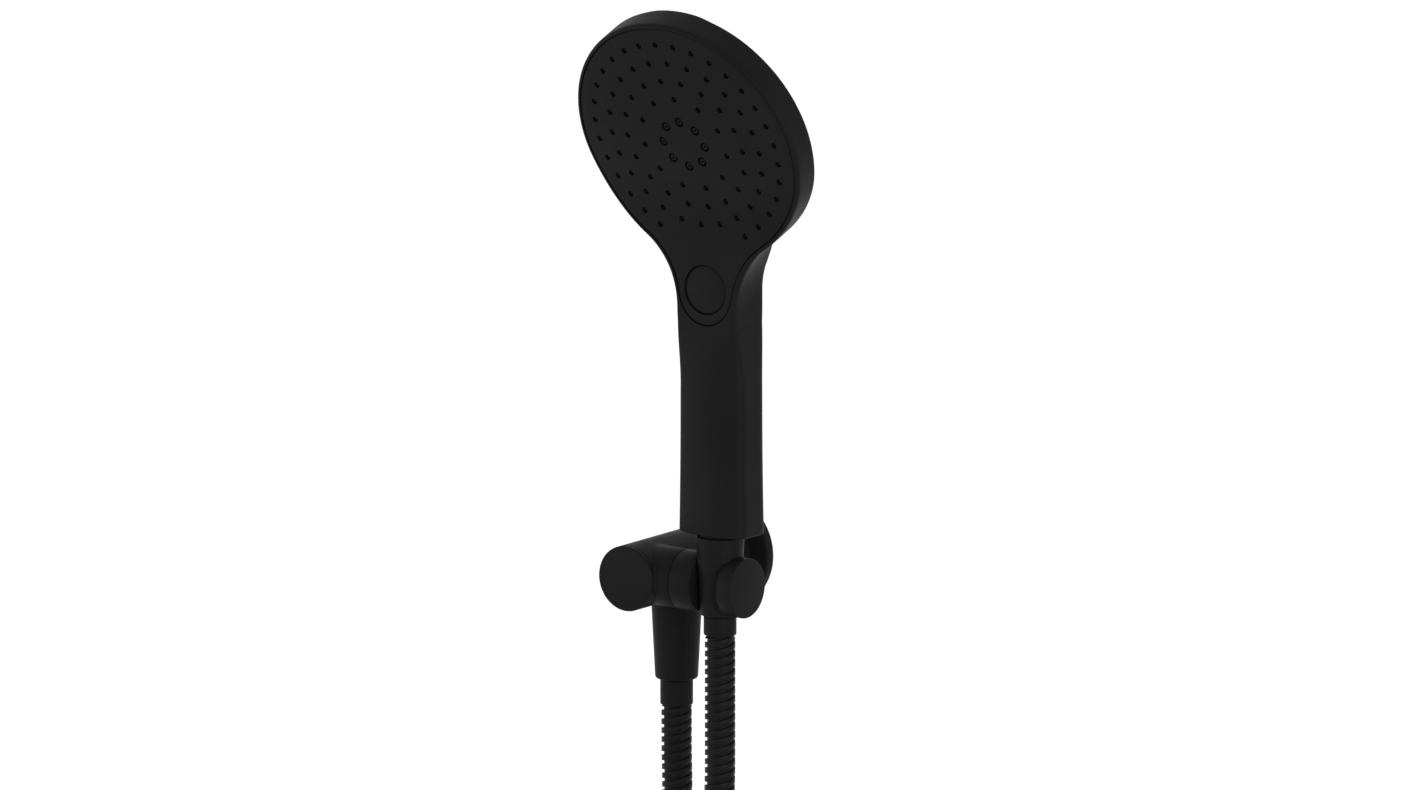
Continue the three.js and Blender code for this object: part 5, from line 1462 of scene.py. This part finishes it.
class SHOWER_OT_hose(BuildStep):
    """Wind the banded hose from the handset down to its coil and up to the outlet"""
    bl_idname = "shower.hose"
    bl_label = "Hose"

    def build(self, scene):
        settings = scene.shower_hose
        points, in_strand = hose_line(settings.coil_turns)
        line, marks = through(points)
        centre = Centreline(line)
        coil_start, end = centre.along[marks[in_strand]], centre.length
        upper = banded_hose("hose_upper_run", centre, 0.0, TOP_PIECE, settings)
        lower = banded_hose("hose_lower_run", centre, TOP_PIECE, coil_start, settings)
        wound = banded_hose("hose_wound_run", centre, coil_start, end, settings)
        band = hose_tie_band(settings.coil_turns)
        joint, coil = centre.at(TOP_PIECE)[0] * MM, centre.at(coil_start)[0] * MM
        put(upper, None, *BLACK_HOSE)
        put(lower, None, *BLACK_HOSE)
        centre.at(LIFT_START)[0] * MM
        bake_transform(upper)
        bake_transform(lower)
        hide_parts("hose_handset_run")
        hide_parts("hose_handset_run")
        put(wound, "bracket", *BLACK_HOSE, "hose_coil", "hose_outlet_run")
        put(band, "bracket", "strap", "rubber", "hose_tie")
        declare_hose(centre, 0.0, TOP_PIECE)
        declare_hose(centre, TOP_PIECE, coil_start)
        declare_hose(centre, end, coil_start)


class SHOWER_OT_handset(BuildStep):
    """Build the handset's shell, face plate, nozzles and jets"""
    bl_idname = "shower.handset"
    bl_label = "Handset"

    def build(self, scene):
        settings = scene.shower_handset
        put(handset_shell(), "handset", "matt_black_shell", "matt_black_shell", "handset_body")
        put(face_plate(settings), "handset", "matt_black_plate", "matt_black_shell",
            "spray_face_plate")
        put(nozzle_field(settings), "handset", "silicone", "silicone", "rain_nozzle_mat")
        put(jet_cluster(settings), "handset", "matt_black_plate", "black_plastic",
            "jet_nozzle_insert")


class SHOWER_OT_button(BuildStep):
    """Build the spray selector's button and its spring"""
    bl_idname = "shower.button"
    bl_label = "Button"

    def build(self, scene):
        put(button_cap(scene.shower_handset), "button", "matt_black_plate",
            "matt_black_shell", "diverter_button")
        spring = put(wound_spring("button_return_spring", "button_spring", "Y", 3), "handset",
                     "steel", "steel", "button_spring")
        squeezed(spring, "Y", True)


class SHOWER_OT_hose_ends(BuildStep):
    """Turn the two union nuts and their ferrules"""
    bl_idname = "shower.hose_ends"
    bl_label = "Hose ends"

    def build(self, scene):
        put(union_nut("handset_union_nut", HANDSET_NUT), "handset", *BLACK_METAL, "handset_nut")
        put(union_nut("outlet_union_nut", OUTLET_NUT), "bracket", *BLACK_METAL, "outlet_nut")
        put(crimped_ferrule("handset_sleeve", HANDSET_NUT), "hose_end", *BLACK_METAL,
            "handset_ferrule")
        put(crimped_ferrule("outlet_sleeve", OUTLET_NUT), "bracket", *BLACK_METAL, "outlet_ferrule")


class SHOWER_OT_elbow(BuildStep):
    """Build the wall elbow with its cap, rose, wall thread, grub screw and valve spring"""
    bl_idname = "shower.elbow"
    bl_label = "Wall elbow"

    def build(self, scene):
        settings = scene.shower_bracket
        put(elbow_casting(settings), "bracket", *BLACK_METAL, "elbow_body")
        put(elbow_front_cap(settings), "bracket", *BLACK_METAL, "front_cap")
        put(wall_rose(), "bracket", *BLACK_METAL, "wall_flange")
        put(wall_thread(settings), "bracket", "brass", "brass", "wall_nipple")
        put(hex_grub(), "bracket", "steel", "steel", "grub_screw")
        spring = put(wound_spring("valve_return_spring", "check_valve_spring", "Z", 4), "bracket",
                     "steel", "steel", "check_valve_spring")
        squeezed(spring, "Z", False)


class SHOWER_OT_cradle(BuildStep):
    """Build the tilting cradle and its end cap"""
    bl_idname = "shower.cradle"
    bl_label = "Cradle"

    def build(self, scene):
        put(cradle_jaw(scene.shower_bracket), "cradle", *BLACK_METAL, "cradle")
        put(cradle_end_cap(), "cradle", *BLACK_METAL, "cradle_cap")


# ------------------------------------------------------------------ stage
AIM_RIGHT = 25.56                  # where the camera looks, from the cradle's axis
AIM_UP = 81.44
SENSOR_WIDTH = 36.0
FLOOR_HEIGHT = -0.3165
FLOOR_HALF = 3.0
FLOOR_GLOW = 0.45                  # lifts the floor to white in the paths that are seen
LAMP_FOCUS = Vector((0.03, -0.07, 0.08))
LAMPS = [                          # azimuth, elevation, distance, size, power
    ("key_lamp", -42, 0, 1.8, 1.3, 7.5), ("fill_lamp", 66, 0, 1.8, 1.5, 15.0),
    ("back_lamp", 170, 25, 1.8, 1.0, 0.4),
]


def view_axes(azimuth, elevation):
    """Unit vectors toward the viewer, to the viewer's right and up."""
    back = Vector((sin(azimuth) * cos(elevation), -cos(azimuth) * cos(elevation), sin(elevation)))
    right = Vector((cos(azimuth), sin(azimuth), 0))
    return back, right, back.cross(right)


def stand(holder, axes, focus, distance):
    """Puts a camera or a lamp at a distance from its focus, turned toward it."""
    back, right, up = axes
    turn = Matrix((right, up, back)).transposed().to_4x4()
    holder.matrix_world = Matrix.Translation(focus + back * distance) @ turn


def set_camera(scene, settings):
    axes = view_axes(settings.azimuth, settings.elevation)
    lens = bpy.data.cameras.new("camera")
    lens.type = "PERSP"
    lens.sensor_fit = "HORIZONTAL"
    lens.sensor_width = SENSOR_WIDTH
    lens.lens = settings.lens
    lens.clip_start = 0.05
    lens.clip_end = 60.0
    scene.camera = placed("camera", lens)
    aim = Vector(ON_AXIS) * MM + axes[1] * AIM_RIGHT * MM + axes[2] * AIM_UP * MM
    stand(scene.camera, axes, aim, settings.distance)


def seen_paths(nodes, links):
    """1 for a ray from the camera or off a gloss or through glass, 0 for a diffuse one."""
    path = nodes.new("ShaderNodeLightPath")
    total = path.outputs["Is Camera Ray"]
    for name in ("Is Glossy Ray", "Is Transmission Ray"):
        both = nodes.new("ShaderNodeMath")
        both.operation = "MAXIMUM"
        links.new(total, both.inputs[0])
        links.new(path.outputs[name], both.inputs[1])
        total = both.outputs[0]
    return total


def set_floor():
    """A plain pale floor that reads white where no shadow falls."""
    mesh = bpy.data.meshes.new("floor")
    corners = [(-FLOOR_HALF, -FLOOR_HALF), (FLOOR_HALF, -FLOOR_HALF), (FLOOR_HALF, FLOOR_HALF),
               (-FLOOR_HALF, FLOOR_HALF)]
    mesh.from_pydata([(x, y, FLOOR_HEIGHT) for x, y in corners], [], [(0, 1, 2, 3)])
    material = bpy.data.materials.new("pale_floor")
    material.use_nodes = True
    nodes, links = material.node_tree.nodes, material.node_tree.links
    shader = nodes["Principled BSDF"]
    shader.inputs["Base Color"].default_value = (0.8, 0.8, 0.8, 1.0)
    shader.inputs["Roughness"].default_value = 0.9
    shader.inputs["Specular IOR Level"].default_value = 0.0
    shader.inputs["Emission Color"].default_value = (1.0, 1.0, 1.0, 1.0)
    lift = nodes.new("ShaderNodeMath")
    lift.operation = "MULTIPLY"
    lift.inputs[1].default_value = FLOOR_GLOW
    links.new(seen_paths(nodes, links), lift.inputs[0])
    links.new(lift.outputs[0], shader.inputs["Emission Strength"])
    mesh.materials.append(material)
    placed("floor", mesh)


def set_lamps(settings):
    """Three soft lamps: key and fill at the focus's height, and a weak high one behind."""
    for name, azimuth, elevation, away, size, power in LAMPS:
        lamp = bpy.data.lights.new(name, "AREA")
        lamp.shape = "DISK"
        lamp.size = size
        lamp.energy = power * settings.lamp_level
        axes = view_axes(radians(azimuth), radians(elevation))
        stand(placed(name, lamp), axes, LAMP_FOCUS, away)


def set_world(scene, settings):
    """An even light that reads pure white in the paths that are seen."""
    world = bpy.data.worlds.new("studio")
    world.use_nodes = True
    nodes, links = world.node_tree.nodes, world.node_tree.links
    light = nodes["Background"]
    light.inputs["Color"].default_value = (1.0, 1.0, 1.0, 1.0)
    level = nodes.new("ShaderNodeMapRange")
    level.inputs["To Min"].default_value = settings.world_level
    level.inputs["To Max"].default_value = 1.0
    links.new(seen_paths(nodes, links), level.inputs["Value"])
    links.new(level.outputs["Result"], light.inputs["Strength"])
    scene.world = world


# ------------------------------------------------------------------ panel and registering
STEPS = (SHOWER_OT_stage, SHOWER_OT_finishes, SHOWER_OT_hose, SHOWER_OT_handset, SHOWER_OT_button,
         SHOWER_OT_hose_ends, SHOWER_OT_elbow, SHOWER_OT_cradle)


class SHOWER_PT_panel(bpy.types.Panel):
    bl_label = "Shower head"
    bl_idname = "SHOWER_PT_panel"
    bl_space_type = "VIEW_3D"
    bl_region_type = "UI"
    bl_category = "Shower"

    def draw(self, context):
        for name, group in SETTINGS.items():
            box = self.layout.box()
            box.label(text=name.split("_")[1].capitalize())
            for field in group.__annotations__:
                box.prop(getattr(context.scene, name), field)
        for step in STEPS:
            self.layout.operator(step.bl_idname)


CLASSES = (*SETTINGS.values(), *STEPS, SHOWER_PT_panel)


def register():
    for made in CLASSES:
        bpy.utils.register_class(made)
    for name, group in SETTINGS.items():
        setattr(bpy.types.Scene, name, bpy.props.PointerProperty(type=group))


def unregister():
    for name in SETTINGS:
        delattr(bpy.types.Scene, name)
    for made in reversed(CLASSES):
        bpy.utils.unregister_class(made)


def main():
    register()
    for step in STEPS:
        group, name = step.bl_idname.split(".")
        getattr(getattr(bpy.ops, group), name)()
    bpy.context.view_layer.update()


if __name__ == "__main__":
    main()
